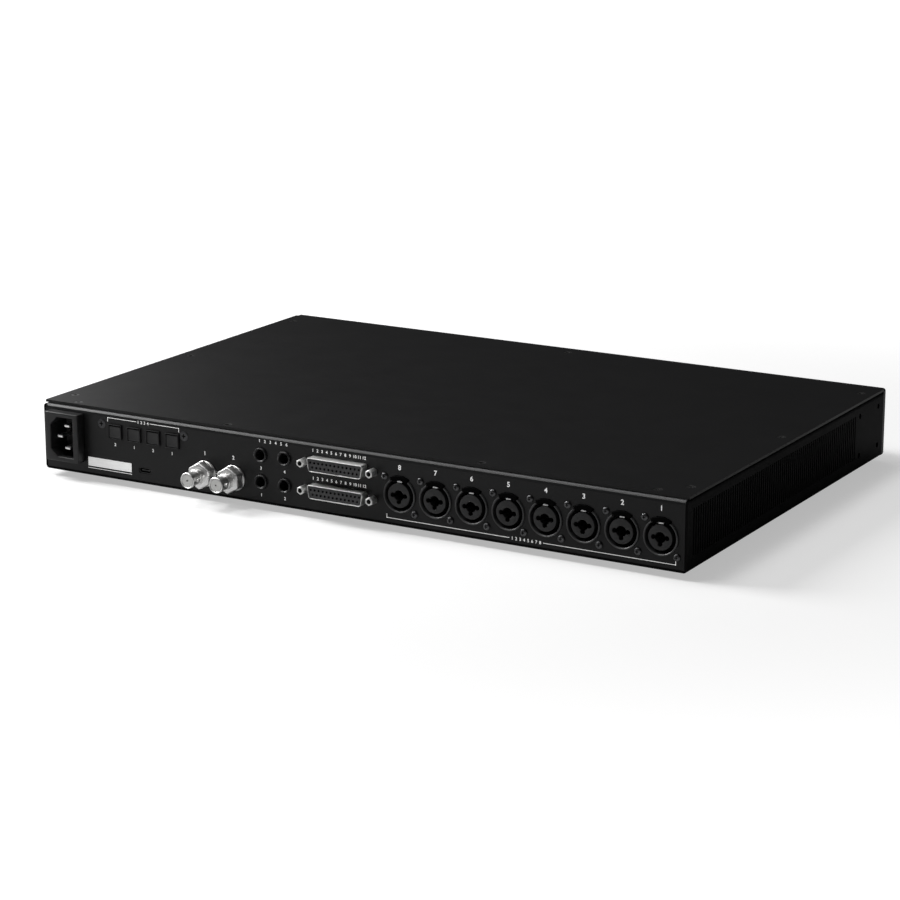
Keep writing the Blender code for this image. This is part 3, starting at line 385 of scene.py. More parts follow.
def draw_out(shape, edges, distance, scale=(1.0, 1.0, 1.0)):
    """Extrude a loop of edges along Y, with a change of size, and hand the new loop back."""
    walls = bmesh.ops.extrude_edge_only(shape, edges=edges)["geom"]
    moved = only(walls, bmesh.types.BMVert)
    bmesh.ops.scale(shape, verts=moved, vec=scale)
    bmesh.ops.translate(shape, verts=moved, vec=(0.0, distance, 0.0))
    return [edge for edge in only(walls, bmesh.types.BMEdge) if edge.is_boundary]


def close_up(shape):
    """Fill the open ends and point the faces outwards."""
    rims = [edge for edge in shape.edges if len(edge.link_faces) == 1]
    if rims:
        bmesh.ops.holes_fill(shape, edges=rims, sides=0)
    bmesh.ops.recalc_face_normals(shape, faces=shape.faces[:])


def keyed(width, height, key):
    """Corners of the keyed mouth, cut off on the +X side."""
    half, tall = width / 2, height / 2
    low = [(-half, -tall), (half - key, -tall), (half, key - tall)]
    return low + [(half, tall - key), (half - key, tall), (-half, tall)]


inlet_plastic = moulded("inlet_plastic", (0.007, 0.007, 0.0075), (0.011, 0.011, 0.0116), rough=0.46)
wide, tall = inlet_high.x - inlet_low.x, inlet_high.z - inlet_low.z
rim = [(-wide / 2, -tall / 2), (wide / 2, -tall / 2), (wide / 2, tall / 2), (-wide / 2, tall / 2)]
inlet = bmesh.new()
outer = [inlet.verts.new((across, inlet_proud, up)) for across, up in rim]
mouth = [inlet.verts.new((across, inlet_proud, up)) for across, up in keyed(*INLET_MOUTH, INLET_KEY)]
outer_edges = [inlet.edges.new((outer[i - 1], outer[i])) for i in range(4)]
mouth_edges = [inlet.edges.new((mouth[i - 1], mouth[i])) for i in range(6)]
bmesh.ops.triangle_fill(inlet, edges=outer_edges + mouth_edges, normal=(0.0, 1.0, 0.0))
draw_out(inlet, mouth_edges, -INLET_DEEP)
bezel_back = draw_out(inlet, outer_edges, PANEL_GAP - inlet_proud)
body_front = draw_out(inlet, bezel_back, 0.0, INLET_BODY)
draw_out(inlet, body_front, inlet_proud - INLET_DEEP - INLET_BACK)
close_up(inlet)
soften(inlet, INLET_ROUND, segments=3, angle=40.0)
shift(inlet, inlet_centre)
fit("mains_inlet_housing", inlet, inlet_plastic, "case", ["mains_inlet"])


def plated(name, dark, light, rough, stretch=None, scale=500.0, relief=0.05):
    """Bright plated metal with fine handling marks."""
    spread = (rough - 0.03, rough + 0.05)
    scales = (220.0, scale, 2.0 * scale)
    material, shader = finish(name, (dark, light), spread, scales, (relief, 0.00001), 4.0, stretch)
    shader.inputs["Metallic"].default_value = 1.0
    return material


def block(shape, middle, size, turn=Matrix.Identity(4)):
    """Add a box to a shape, turned about its middle where asked."""
    matrix = Matrix.Translation(middle) @ turn @ Matrix.Diagonal((*size, 1.0))
    bmesh.ops.create_cube(shape, size=1.0, matrix=matrix)


blade_metal = plated("blade_metal", (0.90, 0.90, 0.89), (0.97, 0.97, 0.96), rough=0.30)
blades = bmesh.new()
blade_length = INLET_DEEP - BLADE_BACK
for across, up in BLADES:
    middle = inlet_centre + Vector((across, inlet_proud - INLET_DEEP + blade_length / 2, up))
    block(blades, middle, (BLADE_SIZE[0], blade_length + BLADE_ROOT, BLADE_SIZE[1]))
soften(blades, width=0.0005)
fit("mains_blades", blades, blade_metal, "case")

# Optical ports: one moulded block with four square mouths that stand just proud of the panel.
# A sprung shutter closes each mouth and swings in and up round its top edge.
# Black plastic that hardly stands out from the panel, with a moulded field on each shutter.
optical_plastic = moulded("optical_plastic", (0.008, 0.008, 0.0085), (0.012, 0.012, 0.0126), rough=0.42)
shutter_plastic = moulded("shutter_plastic", (0.009, 0.009, 0.0095), (0.013, 0.013, 0.0136), rough=0.42)
PORT_SIZE = (0.0095, 0.0089)
PORT_WALL = 0.0005
SHUTTER_GAP = 0.00018
PORT_DEEP = 0.0128
PORT_BACK = 0.0012
SHUTTER_BORDER = 0.0011
SHUTTER_DISH = 0.0002
block_low, block_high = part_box("optical_block")
port_proud = block_high.y - REAR
port_z = (block_low.z + block_high.z) / 2
ports = [middle_of(f"optical_shutter_{number}") for number in range(1, 5)]
for place in ports:
    place.z = port_z
half, tall = PORT_SIZE[0] / 2, PORT_SIZE[1] / 2
port, face = flat_face([(-half, -tall), (half, -tall), (half, tall), (-half, tall)], -PORT_DEEP)
cap = pull(port, face, PORT_DEEP + port_proud)
bmesh.ops.inset_region(port, faces=[cap], thickness=PORT_WALL)
pull(port, cap, PORT_BACK - PORT_DEEP - port_proud)
close_up(port)
soften(port, width=0.00018, angle=40.0)
fit("optical_frames", copies(port, ports), optical_plastic, "case", ["optical_block"])
for number in range(1, 5):
    name = f"optical_shutter_{number}"
    low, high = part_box(name)
    size = high - low
    middle = (low + high) / 2
    bottom = port_z - tall + PORT_WALL + SHUTTER_GAP
    middle.z = (high.z + bottom) / 2
    size.x = PORT_SIZE[0] - 2 * (PORT_WALL + SHUTTER_GAP)
    size.z = high.z - bottom
    shutter = bmesh.new()
    block(shutter, (0.0, 0.0, 0.0), size)
    fronts = [each for each in shutter.faces if each.normal.y > 0.9]
    bmesh.ops.inset_region(shutter, faces=fronts, thickness=SHUTTER_BORDER)
    bmesh.ops.translate(shutter, verts=fronts[0].verts[:], vec=(0.0, -SHUTTER_DISH, 0.0))
    soften(shutter, width=0.00012, angle=25.0)
    shift(shutter, middle)
    fit(f"{name}_flap", shutter, shutter_plastic, name, [name])

# Screws of the optical block: two low, wide heads on the panel, one at each end of the ports.
# Black zinc on steel; the cross recess is not cut but painted in as a thin dark inlay of painted shade.
# A smaller, domed head of the same kind holds each round socket.
screw_dark = plated("screw_dark", (0.050, 0.050, 0.052), (0.085, 0.085, 0.088), rough=0.36)
OPTICAL_SCREWS = ((0.0440, 0.0093), (0.1051, 0.0093))
OPTICAL_HEAD = (0.0030, 0.0004)
OPTICAL_CROSS = (0.0014, 0.0008)
OPTICAL_CROSS_UP = 0.00039
HEAD_ARC = 6
HEAD_EDGE = 0.35
HEAD_SEAT = 0.00005
CROSS_DEEP = 0.00012


def pan_head(radius, height):
    """A domed screw head, facing +Y."""
    profile = [(0.0, height)]
    for step in range(1, HEAD_ARC + 1):
        angle = math.pi / 2 * step / HEAD_ARC
        up = height * (HEAD_EDGE + (1.0 - HEAD_EDGE) * math.cos(angle))
        profile.append((radius * math.sin(angle), up))
    profile += [(radius, HEAD_SEAT), (0.0, HEAD_SEAT)]
    return spun(profile, steps=24)


def cross_recess(radius, arm):
    """The cross of a screw head, as a thin dark inlay of painted shade."""
    cross = bmesh.new()
    for turn in (0.0, math.pi / 2):
        spin = Matrix.Rotation(turn, 4, "Y")
        block(cross, (0.0, 0.0, 0.0), (2 * radius, CROSS_DEEP, arm), spin)
    return cross


def dull(material, gloss):
    """Take most of the gloss off a finish."""
    material.node_tree.nodes["Principled BSDF"].inputs["Specular IOR Level"].default_value = gloss


# Painted shade: a near black finish laid into recesses and bores in place of the shade in their depth.
painted_recess_shade = moulded("painted_recess_shade", (0.002, 0.002, 0.002), (0.003, 0.003, 0.003), rough=0.7)
dull(painted_recess_shade, gloss=0.10)
places = [on_panel(along, down) for along, down in OPTICAL_SCREWS]
fit("optical_screws", copies(pan_head(*OPTICAL_HEAD), places), screw_dark, "case")
tops = [place + Vector((0.0, OPTICAL_CROSS_UP, 0.0)) for place in places]
crosses = copies(cross_recess(*OPTICAL_CROSS), tops)
fit("optical_screw_crosses", crosses, painted_recess_shade, "case")

# Data socket: a drawn steel shell with a flat contact tongue, just behind the panel.
# Its mouth is a stadium about nine millimetres wide.
# The inside of the shell is dull, with dark contacts.
shell_steel = plated("shell_steel", (0.05, 0.05, 0.05), (0.09, 0.09, 0.09), rough=0.40)
dress("usb_socket", shell_steel)

# Bayonet clock jacks: turned brass, nickel plated, with a hexagon and a round flange.
# Two lugs stand on the barrel, and a pale insulator fills its end round a small contact.
# The plating is bright, a little worn on the hexagon's corners.
NICKEL_TONES = ((0.86, 0.86, 0.85), (0.94, 0.94, 0.93))
WHITE_TONES = ((0.74, 0.74, 0.72), (0.82, 0.82, 0.80))
nickel = plated("nickel", *NICKEL_TONES, rough=0.38, scale=300.0, relief=0.01)
insulator_white = moulded("insulator_white", *WHITE_TONES, rough=0.45, grain=900.0, relief=0.02)
BNC_FLANGE = (0.0079, 0.0010)
BNC_HEX = (0.0145, 0.0078)
BNC_BARREL = (0.0048, 0.0008)
BNC_BORE = 0.0075
BNC_LIP = 0.0020
BNC_WAIST = 0.0004
BNC_EDGE = 0.0003
BNC_SUNK = 0.0002
BNC_LUG = (0.0009, 0.0009, 0.0042)
BNC_LUG_ROOT = 0.0004
BNC_CORE = (0.0039, 0.0002)
BNC_CORE_EDGE = 0.0002
BNC_CORE_BACK = 0.0004
BNC_PIN = (0.0006, 0.0070)


def hexagon(flats, start, tall, rounding):
    """A hexagonal prism along Y with rounded edges."""
    shape = bmesh.new()
    bmesh.ops.create_circle(shape, cap_ends=True, segments=6, radius=flats / math.sqrt(3.0))
    facing = Matrix.Rotation(-math.pi / 2, 3, "X")
    bmesh.ops.rotate(shape, verts=shape.verts[:], cent=(0, 0, 0), matrix=facing)
    shift(shape, (0.0, start, 0.0))
    shape.faces.ensure_lookup_table()
    pull(shape, shape.faces[0], tall)
    close_up(shape)
    soften(shape, rounding, segments=3, angle=40.0)
    return shape


for number in (1, 2):
    centre = middle_of(f"bnc_jack_{number}")
    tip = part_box(f"bnc_jack_{number}")[1].y - REAR
    outer = BNC_BARREL[0]
    inner = outer - BNC_BARREL[1]
    flange, thick = BNC_FLANGE
    profile = [
        (0.0, tip - BNC_BORE),
        (inner, tip - BNC_BORE),
        (inner, tip - BNC_EDGE),
        (inner + BNC_EDGE, tip),
        (outer - BNC_EDGE, tip),
        (outer, tip - BNC_EDGE),
        (outer, tip - BNC_LIP),
        (outer - BNC_WAIST, tip - BNC_LIP - BNC_EDGE),
        (outer - BNC_WAIST, tip - BNC_BORE),
        (outer, tip - BNC_BORE - BNC_WAIST),
        (outer, thick),
        (flange - BNC_EDGE, thick),
        (flange, thick - BNC_EDGE),
        (flange, PANEL_GAP),
        (0.0, PANEL_GAP),
    ]
    jack = spun(profile, steps=56)
    shift(jack, centre)
    fit(f"bnc_{number}_body", jack, nickel, "case", [f"bnc_jack_{number}"])
    nut = hexagon(BNC_HEX[0], thick - BNC_SUNK, BNC_HEX[1] - thick, rounding=0.0009)
    shift(nut, centre)
    fit(f"bnc_{number}_hexagon", nut, nickel, "case")
    lugs = bmesh.new()
    for side in (-1, 1):
        sideways = Matrix.Rotation(math.pi / 2, 4, "Y")
        middle = Vector((side * (outer + BNC_LUG[1] / 2 - BNC_LUG_ROOT), tip - BNC_LUG[2], 0.0))
        bmesh.ops.create_cone(
            lugs,
            cap_ends=True,
            segments=20,
            radius1=BNC_LUG[0],
            radius2=BNC_LUG[0],
            depth=BNC_LUG[1] + 2 * BNC_LUG_ROOT,
            matrix=Matrix.Translation(middle) @ sideways,
        )
    soften(lugs, width=0.0002, angle=40.0)
    shift(lugs, centre)
    fit(f"bnc_{number}_lugs", lugs, nickel, "case")
    face = tip - BNC_CORE[1]
    pin_end = tip - BNC_PIN[1]
    profile = [
        (0.0, pin_end),
        (BNC_PIN[0], pin_end),
        (BNC_PIN[0], face),
        (BNC_CORE[0] - BNC_CORE_EDGE, face),
        (BNC_CORE[0], face - BNC_CORE_EDGE),
        (BNC_CORE[0], pin_end - BNC_CORE_BACK),
        (0.0, pin_end - BNC_CORE_BACK),
    ]
    core = spun(profile, steps=40)
    shift(core, centre)
    fit(f"bnc_{number}_insulator", core, insulator_white, "case")

# Jack sockets: two stacked pairs, each a moulded black body behind the panel.
# A round nose with a raised rim comes through the panel round each bore.
# The rim slopes in to the bore to lead the plug.
jack_plastic = moulded("jack_plastic", (0.016, 0.016, 0.017), (0.023, 0.023, 0.024), rough=0.38)
JACK_RADII = (0.0043, 0.0032)
JACK_PROUD = 0.0016
JACK_DEEP = 0.0255
JACK_BACK = 0.0010
JACK_LEAD = ((0.0, 0.0006), (0.0004, 0.0003))
JACK_RIM = ((0.0005, 0.0), (0.0002, 0.0001), (0.0, 0.0004))


def jack_nose():
    """The turned nose of a jack socket with its bore, facing +Y."""
    outer, bore = JACK_RADII
    profile = [(0.0, -JACK_DEEP), (bore, -JACK_DEEP)]
    profile += [(bore + out, JACK_PROUD - down) for out, down in JACK_LEAD]
    profile += [(outer - inset, JACK_PROUD - down) for inset, down in JACK_RIM]
    profile += [(outer, -JACK_DEEP - JACK_BACK), (0.0, -JACK_DEEP - JACK_BACK)]
    return spun(profile, steps=48)


for number in (1, 2):
    places = [axis_of(f"line_jack_{number}_{row}") for row in ("lower", "upper")]
    noses = copies(jack_nose(), places)
    fit(f"line_jack_{number}_noses", noses, jack_plastic, "case", [f"line_jack_{number}"])

# Multi-way sockets: a pressed tin plated shell round a grey black insulator.
# The shell leans in on both sides, wide edge up, and holds two rows of contact holes.
# Hexagonal jack screws flank each shell; the threaded hole in each is a dark plug of painted shade.
TIN_TONES = ((0.80, 0.80, 0.79), (0.88, 0.88, 0.87))
tin = plated("tin_plate", *TIN_TONES, rough=0.44, stretch=(1.0, 0.2, 1.0), relief=0.02)
insulator_grey = moulded("insulator_grey", (0.042, 0.042, 0.044), (0.054, 0.054, 0.056), rough=0.46)
DSUB_SIZE = (0.0382, 0.0082)
DSUB_LEAN = 0.0014
DSUB_ROUND = 0.0015
DSUB_WALL = 0.00042
DSUB_LIP = 0.0005
DSUB_PROUD = 0.0060
DSUB_BACK = 0.0016
CORE_GAP = 0.0001
PIN_COUNT = 13
PIN_STEP = 0.00276
PIN_ROWS = 0.00284
PIN_RADIUS = 0.00076
PIN_DEEP = 0.0035
SCREW_STEP = 0.0470
SCREW_FLATS = 0.0046
SCREW_PROUD = 0.0062
SCREW_BORE = 0.0014
SCREW_BORE_DEEP = 0.0020
INLAY = 0.00004


def d_corners(inset):
    """The four corners of the D before they are rounded."""
    half, tall = DSUB_SIZE[0] / 2 - inset, DSUB_SIZE[1] / 2 - inset
    return [(DSUB_LEAN - half, -tall), (half - DSUB_LEAN, -tall), (half, tall), (-half, tall)]


def round_corners(shape, radius):
    """Round the corners of a flat face."""
    bmesh.ops.bevel(
        shape,
        geom=shape.verts[:],
        offset=radius,
        segments=7,
        profile=0.5,
        affect="VERTICES",
        material=-1,
    )


for number in (1, 2):
    centre = middle_of(f"dsub_insulator_{number}")
    shell = flat_face(d_corners(0.0), -DSUB_BACK)[0]
    round_corners(shell, DSUB_ROUND)
    shell.faces.ensure_lookup_table()
    cap = pull(shell, shell.faces[0], DSUB_BACK + DSUB_PROUD)
    bmesh.ops.inset_region(shell, faces=[cap], thickness=DSUB_WALL)
    pull(shell, cap, -DSUB_PROUD)
    close_up(shell)
    soften(shell, width=0.00020, segments=3, angle=50.0)
    shift(shell, centre)
    fit(f"dsub_{number}_shell", shell, tin, "case", [f"dsub_shell_{number}"])
    core = flat_face(d_corners(DSUB_WALL + CORE_GAP), DSUB_PROUD - DSUB_LIP)[0]
    round_corners(core, DSUB_ROUND - DSUB_WALL)
    bmesh.ops.delete(core, geom=core.faces[:], context="FACES_ONLY")
    rim_edges = core.edges[:]
    hole_edges = []
    for row in range(2):
        count = PIN_COUNT - row
        for index in range(count):
            across = (index - (count - 1) / 2) * PIN_STEP
            middle = Vector((across, DSUB_PROUD - DSUB_LIP, PIN_ROWS * (0.5 - row)))
            facing = Matrix.Translation(middle) @ Matrix.Rotation(-math.pi / 2, 4, "X")
            ring = bmesh.ops.create_circle(core, segments=14, radius=PIN_RADIUS, matrix=facing)
            hole_edges += list({edge for vert in ring["verts"] for edge in vert.link_edges})
    bmesh.ops.triangle_fill(core, edges=rim_edges + hole_edges, normal=(0.0, 1.0, 0.0))
    draw_out(core, rim_edges, -DSUB_PROUD)
    draw_out(core, hole_edges, -PIN_DEEP)
    close_up(core)
    shift(core, centre)
    fit(f"dsub_{number}_core", core, insulator_grey, "case", [f"dsub_insulator_{number}"])
    standoff = hexagon(SCREW_FLATS, 0.0, SCREW_PROUD, rounding=0.0005)
    sides = [centre + Vector((side * SCREW_STEP / 2, 0.0, 0.0)) for side in (-1, 1)]
    fit(f"dsub_{number}_jackscrews", copies(standoff, sides), tin, "case")
    # Painted shade: a dark plug stands in for the shade inside each jack screw's threaded hole.
    mouth = SCREW_PROUD + INLAY
    end = SCREW_PROUD - SCREW_BORE_DEEP
    bore_shades = spun([(0.0, mouth), (SCREW_BORE, mouth), (SCREW_BORE, end), (0.0, end)], steps=24)
    fit(f"dsub_{number}_jackscrew_bore_shades", copies(bore_shades, sides), painted_recess_shade, "case")

# Round combination sockets: a moulded core with the jack bore and three pin lobes.
# A ring groove runs round the core, and a thin raised ring stands round the groove.
# The ring is open at the top for the push latch.
COMBO_TONES = ((0.011, 0.011, 0.0115), (0.018, 0.018, 0.0186))
combo_plastic = moulded("combo_plastic", *COMBO_TONES, rough=0.44, grain=1500.0, relief=0.35)
CORE_RADIUS = 0.0072
CORE_PROUD = 0.0011
GROOVE_RADIUS = 0.0095
GROOVE_DEEP = 0.0118
RING_RADIUS = 0.0105
RING_PROUD = 0.0011
RING_EDGE = 0.0003
RING_OPEN = math.radians(34.5)
BORE_RADIUS = 0.0032
LOBE_RADIUS = 0.0015
LOBE_SIDE = 0.0041
LOBE_LOW = 0.0037
LOBE_STEPS = 12
BORE_STEPS = 10
BORE_DEEP = 0.0200
COMBO_BACK = 0.0240


def lobed_mouth():
    """The jack bore run together with its three pin lobes, as arcs."""
    points = []
    lobes = ((0.0, LOBE_SIDE), (math.pi, LOBE_SIDE), (1.5 * math.pi, LOBE_LOW))
    spans = []
    for heading, far in lobes:
        opening = math.acos((far**2 + BORE_RADIUS**2 - LOBE_RADIUS**2) / (2 * far * BORE_RADIUS))
        swing = math.pi - math.acos((far**2 + LOBE_RADIUS**2 - BORE_RADIUS**2) / (2 * far * LOBE_RADIUS))
        spans.append((heading, far, opening, swing))
    for index, (heading, far, opening, swing) in enumerate(spans):
        for step in range(LOBE_STEPS + 1):
            angle = heading - swing + 2 * swing * step / LOBE_STEPS
            across = far * math.cos(heading) + LOBE_RADIUS * math.cos(angle)
            up = far * math.sin(heading) + LOBE_RADIUS * math.sin(angle)
            points.append((across, up))
        following = spans[(index + 1) % 3]
        start = heading + opening
        end = following[0] - following[2] + (2 * math.pi if index == 2 else 0.0)
        for step in range(1, BORE_STEPS):
            angle = start + (end - start) * step / BORE_STEPS
            points.append((BORE_RADIUS * math.cos(angle), BORE_RADIUS * math.sin(angle)))
    return points


core = bmesh.new()
facing = Matrix.Translation((0.0, CORE_PROUD, 0.0)) @ Matrix.Rotation(-math.pi / 2, 4, "X")
rim_verts = bmesh.ops.create_circle(core, segments=56, radius=CORE_RADIUS, matrix=facing)["verts"]
rim_edges = list({edge for vert in rim_verts for edge in vert.link_edges})
mouth = [core.verts.new((across, CORE_PROUD, up)) for across, up in lobed_mouth()]
mouth_edges = [core.edges.new((mouth[index - 1], mouth[index])) for index in range(len(mouth))]
bmesh.ops.triangle_fill(core, edges=rim_edges + mouth_edges, normal=(0.0, 1.0, 0.0))
draw_out(core, rim_edges, -CORE_PROUD - COMBO_BACK)
draw_out(core, mouth_edges, -CORE_PROUD - BORE_DEEP)
close_up(core)
soften(core, width=0.00035, segments=3, angle=50.0)
seat_profile = [
    (0.0, -GROOVE_DEEP),
    (RING_RADIUS, -GROOVE_DEEP),
    (RING_RADIUS, -COMBO_BACK),
    (0.0, -COMBO_BACK),
]
seat = spun(seat_profile)
ring_profile = [
    (GROOVE_RADIUS, -GROOVE_DEEP),
    (GROOVE_RADIUS, RING_PROUD - RING_EDGE),
    (GROOVE_RADIUS + RING_EDGE, RING_PROUD),
    (RING_RADIUS - RING_EDGE, RING_PROUD),
    (RING_RADIUS, RING_PROUD - RING_EDGE),
    (RING_RADIUS, -GROOVE_DEEP),
    (GROOVE_RADIUS, -GROOVE_DEEP),
]
ring = spun(ring_profile, 60, 2 * (math.pi - RING_OPEN), math.pi / 2 + RING_OPEN)
close_up(ring)
combo = joined([core, seat])
combo_axes = [axis_of(f"combo_{number}_bore") for number in range(1, 9)]
for number, place in enumerate(combo_axes, 1):
    socket = shift(combo.copy(), place)
    nodes = [f"combo_socket_{number}"]
    fit(f"combo_{number}_socket", socket, combo_plastic, "case", nodes)
combo.free()
ring_plastic = moulded("ring_plastic", (0.046, 0.046, 0.047), (0.058, 0.058, 0.059), rough=0.38)
fit("combo_rings", copies(ring, combo_axes), ring_plastic, "case")

# Push latches: a black tab that fills the gap at the top of each ring.
# It slides in against a spring, and carries the bright steel tongue that holds the plug.
# The tab's face is crowned, with rounded edges.
# Painted shade: the tab's black is set far darker than the other plastics, so its face reads as deep shade.
latch_plastic = moulded("latch_plastic", (0.0006, 0.0006, 0.0007), (0.0010, 0.0010, 0.0011), rough=0.60)
dull(latch_plastic, gloss=0.03)
latch_steel = plated("latch_steel", (0.88, 0.88, 0.88), (0.96, 0.96, 0.96), rough=0.36)
LATCH_RADII = (0.0088, 0.0116)
LATCH_HALF = math.radians(31.4)
LATCH_PROUD = 0.0009
LATCH_LONG = 0.0079
TONGUE_SIZE = (0.0031, 0.0010)
TONGUE_PROUD = 0.0004
TONGUE_LONG = 0.0074
TONGUE_GAP = 0.00035
for number, place in enumerate(combo_axes, 1):
    profile = [
        (LATCH_RADII[0], -LATCH_LONG),
        (LATCH_RADII[0], LATCH_PROUD),
        (LATCH_RADII[1], LATCH_PROUD),
        (LATCH_RADII[1], -LATCH_LONG),
        (LATCH_RADII[0], -LATCH_LONG),
    ]
    tab = spun(profile, 14, 2 * LATCH_HALF, math.pi / 2 - LATCH_HALF)
    close_up(tab)
    soften(tab, width=0.0004, segments=3, angle=45.0)
    shift(tab, place)
    latch = f"combo_latch_{number}"
    fit(f"latch_{number}_tab", tab, latch_plastic, latch, [latch])
    tongue = bmesh.new()
    low_edge = CORE_RADIUS + TONGUE_GAP
    middle = Vector((0.0, TONGUE_PROUD - TONGUE_LONG / 2, low_edge + TONGUE_SIZE[1] / 2))
    block(tongue, middle, (TONGUE_SIZE[0], TONGUE_LONG, TONGUE_SIZE[1]))
    soften(tongue, width=0.00025, segments=3)
    shift(tongue, place)
    fit(f"latch_{number}_tongue", tongue, latch_steel, latch)

# Socket screws: two small black screws hold each round socket to the panel.
# One is up on the mains side and the other down on the far side.
# Their domed heads catch the light.
screw_black = plated("screw_black", (0.090, 0.090, 0.093), (0.150, 0.150, 0.154), rough=0.30)
SOCKET_SCREWS = ((0.0099, 0.0101), (-0.0099, -0.0101))
SOCKET_HEAD = (0.0021, 0.0014)
SOCKET_CROSS = (0.0009, 0.00055)
SOCKET_CROSS_UP = 0.00136
places = []
for place in combo_axes:
    for across, up in SOCKET_SCREWS:
        places.append(place + Vector((across, 0.0, up)))
fit("socket_screws", copies(pan_head(*SOCKET_HEAD), places), screw_black, "case")
tops = [place + Vector((0.0, SOCKET_CROSS_UP, 0.0)) for place in places]
crosses = copies(cross_recess(*SOCKET_CROSS), tops)
fit("socket_screw_crosses", crosses, painted_recess_shade, "case")

# White print on the rear panel: channel numbers, rules with turned ends and a blank field.
# Screen printed ink, a few hundredths of a millimetre thick.
# The ink is matt and not quite even, and it carries a faint glow of its own, painted light beyond what the lamps
# give it.
glowing_print = moulded("glowing_print", (0.88, 0.88, 0.87), (0.96, 0.96, 0.95), rough=0.62)
ink_glow_shader = glowing_print.node_tree.nodes["Principled BSDF"]
# Painted light: the ink glows faintly, so the print and pointers read brighter than the lamps make them.
ink_glow_shader.inputs["Emission Color"].default_value = (1.0, 1.0, 1.0, 1.0)
ink_glow_shader.inputs["Emission Strength"].default_value = 0.28
INK = 0.00003
BOLD = 0.0215
RULE = 0.00036
FACING_REAR = Matrix(((-1, 0, 0, 0), (0, 0, 1, 0), (0, 1, 0, 0), (0, 0, 0, 1)))
FACING_FRONT = Matrix(((1, 0, 0, 0), (0, 0, -1, 0), (0, 1, 0, 0), (0, 0, 0, 1)))


def lettering(words, tall, place, facing):
    """Flat figures of a given height, centred on a place, as a bmesh."""
    curve = bpy.data.curves.new("words", "FONT")
    curve.body = words
    curve.align_x = "CENTER"
    curve.size = 1.0
    curve.offset = BOLD
    writer = bpy.data.objects.new("words", curve)
    scene.collection.objects.link(writer)
    graph = bpy.context.evaluated_depsgraph_get()
    mesh = bpy.data.meshes.new_from_object(writer.evaluated_get(graph))
    bpy.data.objects.remove(writer)
    shape = bmesh.new()
    shape.from_mesh(mesh)
    bpy.data.meshes.remove(mesh)
    bmesh.ops.remove_doubles(shape, verts=shape.verts[:], dist=0.0001)
    low = min(vert.co.y for vert in shape.verts)
    high = max(vert.co.y for vert in shape.verts)
    size = tall / max(high - low, 0.3)
    centred = Matrix.Translation((0.0, -(low + high) / 2, 0.0))
    scaled = Matrix.Diagonal((size, size, size, 1.0)) @ centred
    bmesh.ops.transform(shape, matrix=scaled, verts=shape.verts[:])
    lift = bmesh.ops.extrude_face_region(shape, geom=shape.faces[:])["geom"]
    moved = only(lift, bmesh.types.BMVert)
    bmesh.ops.translate(shape, verts=moved, vec=(0.0, 0.0, INK))
    bmesh.ops.recalc_face_normals(shape, faces=shape.faces[:])
    bmesh.ops.transform(shape, matrix=Matrix.Translation(place) @ facing, verts=shape.verts[:])
    return shape


def rule(start, end):
    """A printed straight line between two points of the panel."""
    shape = bmesh.new()
    size = Vector((abs(end.x - start.x) + RULE, INK, abs(end.z - start.z) + RULE))
    middle = (start + end) / 2 + Vector((0.0, INK / 2, 0.0))
    block(shape, middle, size)
    return shape


def printed(name, shapes):
    """Gather figures and rules into one printed piece."""
    return fit(name, joined(shapes), glowing_print, "case")


FIGURE_TALL = 0.0030
FIGURE_DOWN = 0.0081
figures = []
for number, place in enumerate(combo_axes, 1):
    above = Vector((place.x, REAR, CASE_TOP - FIGURE_DOWN))
    figures.append(lettering(str(number), FIGURE_TALL, above, FACING_REAR))
printed("channel_figures", figures)


def bracket(start, end, down, turn, gap):
    """A rule with turned ends and a gap in the middle for its figures."""
    lines = []
    for near, far in ((start, gap[0]), (gap[1], end)):
        lines.append(rule(on_panel(near, down), on_panel(far, down)))
    for along in (start, end):
        lines.append(rule(on_panel(along, down), on_panel(along, down + turn)))
    return lines


SMALL = 0.0019


def figure_row(start, end, down, count):
    """Figures counted up along the panel between two places."""
    row = []
    for index in range(count):
        along = start + (end - start) * index / (count - 1)
        row.append(lettering(str(index + 1), SMALL, on_panel(along, down), FACING_REAR))
    return row


SOCKET_RULE_DOWN = 0.0389
socket_rule = bracket(0.2469, 0.4305, SOCKET_RULE_DOWN, turn=-0.0022, gap=(0.3272, 0.3490))
socket_rule += figure_row(0.3292, 0.3470, SOCKET_RULE_DOWN, count=8)
printed("socket_rule", socket_rule)
OPTICAL_RULE_DOWN = 0.0050
PORT_FIGURES = ((0.0538, "2"), (0.0680, "1"), (0.0820, "2"), (0.0961, "1"))
PORT_FIGURES_DOWN = 0.0213
optical_rule = bracket(0.0486, 0.1014, OPTICAL_RULE_DOWN, turn=0.0023, gap=(0.0698, 0.0802))
optical_rule += figure_row(0.0714, 0.0786, OPTICAL_RULE_DOWN, count=4)
for along, figure in PORT_FIGURES:
    optical_rule.append(lettering(figure, SMALL, on_panel(along, PORT_FIGURES_DOWN), FACING_REAR))
printed("optical_rule", optical_rule)
JACK_COLUMNS = (0.1602, 0.1768)
JACK_ROWS = ((0.0215, ("3", "4")), (0.0378, ("1", "2")))
CLOCK_FIGURES = ((0.1201, "1"), (0.1406, "2"))
CLOCK_FIGURES_DOWN = 0.0178
CLOCK_TALL = 0.0024
jack_figures = figure_row(0.1595, 0.1785, down=0.0049, count=6)
for down, pair in JACK_ROWS:
    for along, figure in zip(JACK_COLUMNS, pair):
        jack_figures.append(lettering(figure, SMALL, on_panel(along, down), FACING_REAR))
for along, figure in CLOCK_FIGURES:
    place = on_panel(along, CLOCK_FIGURES_DOWN)
    jack_figures.append(lettering(figure, CLOCK_TALL, place, FACING_REAR))
printed("jack_figures", jack_figures)
ROW_ENDS = (0.1968, 0.2318)
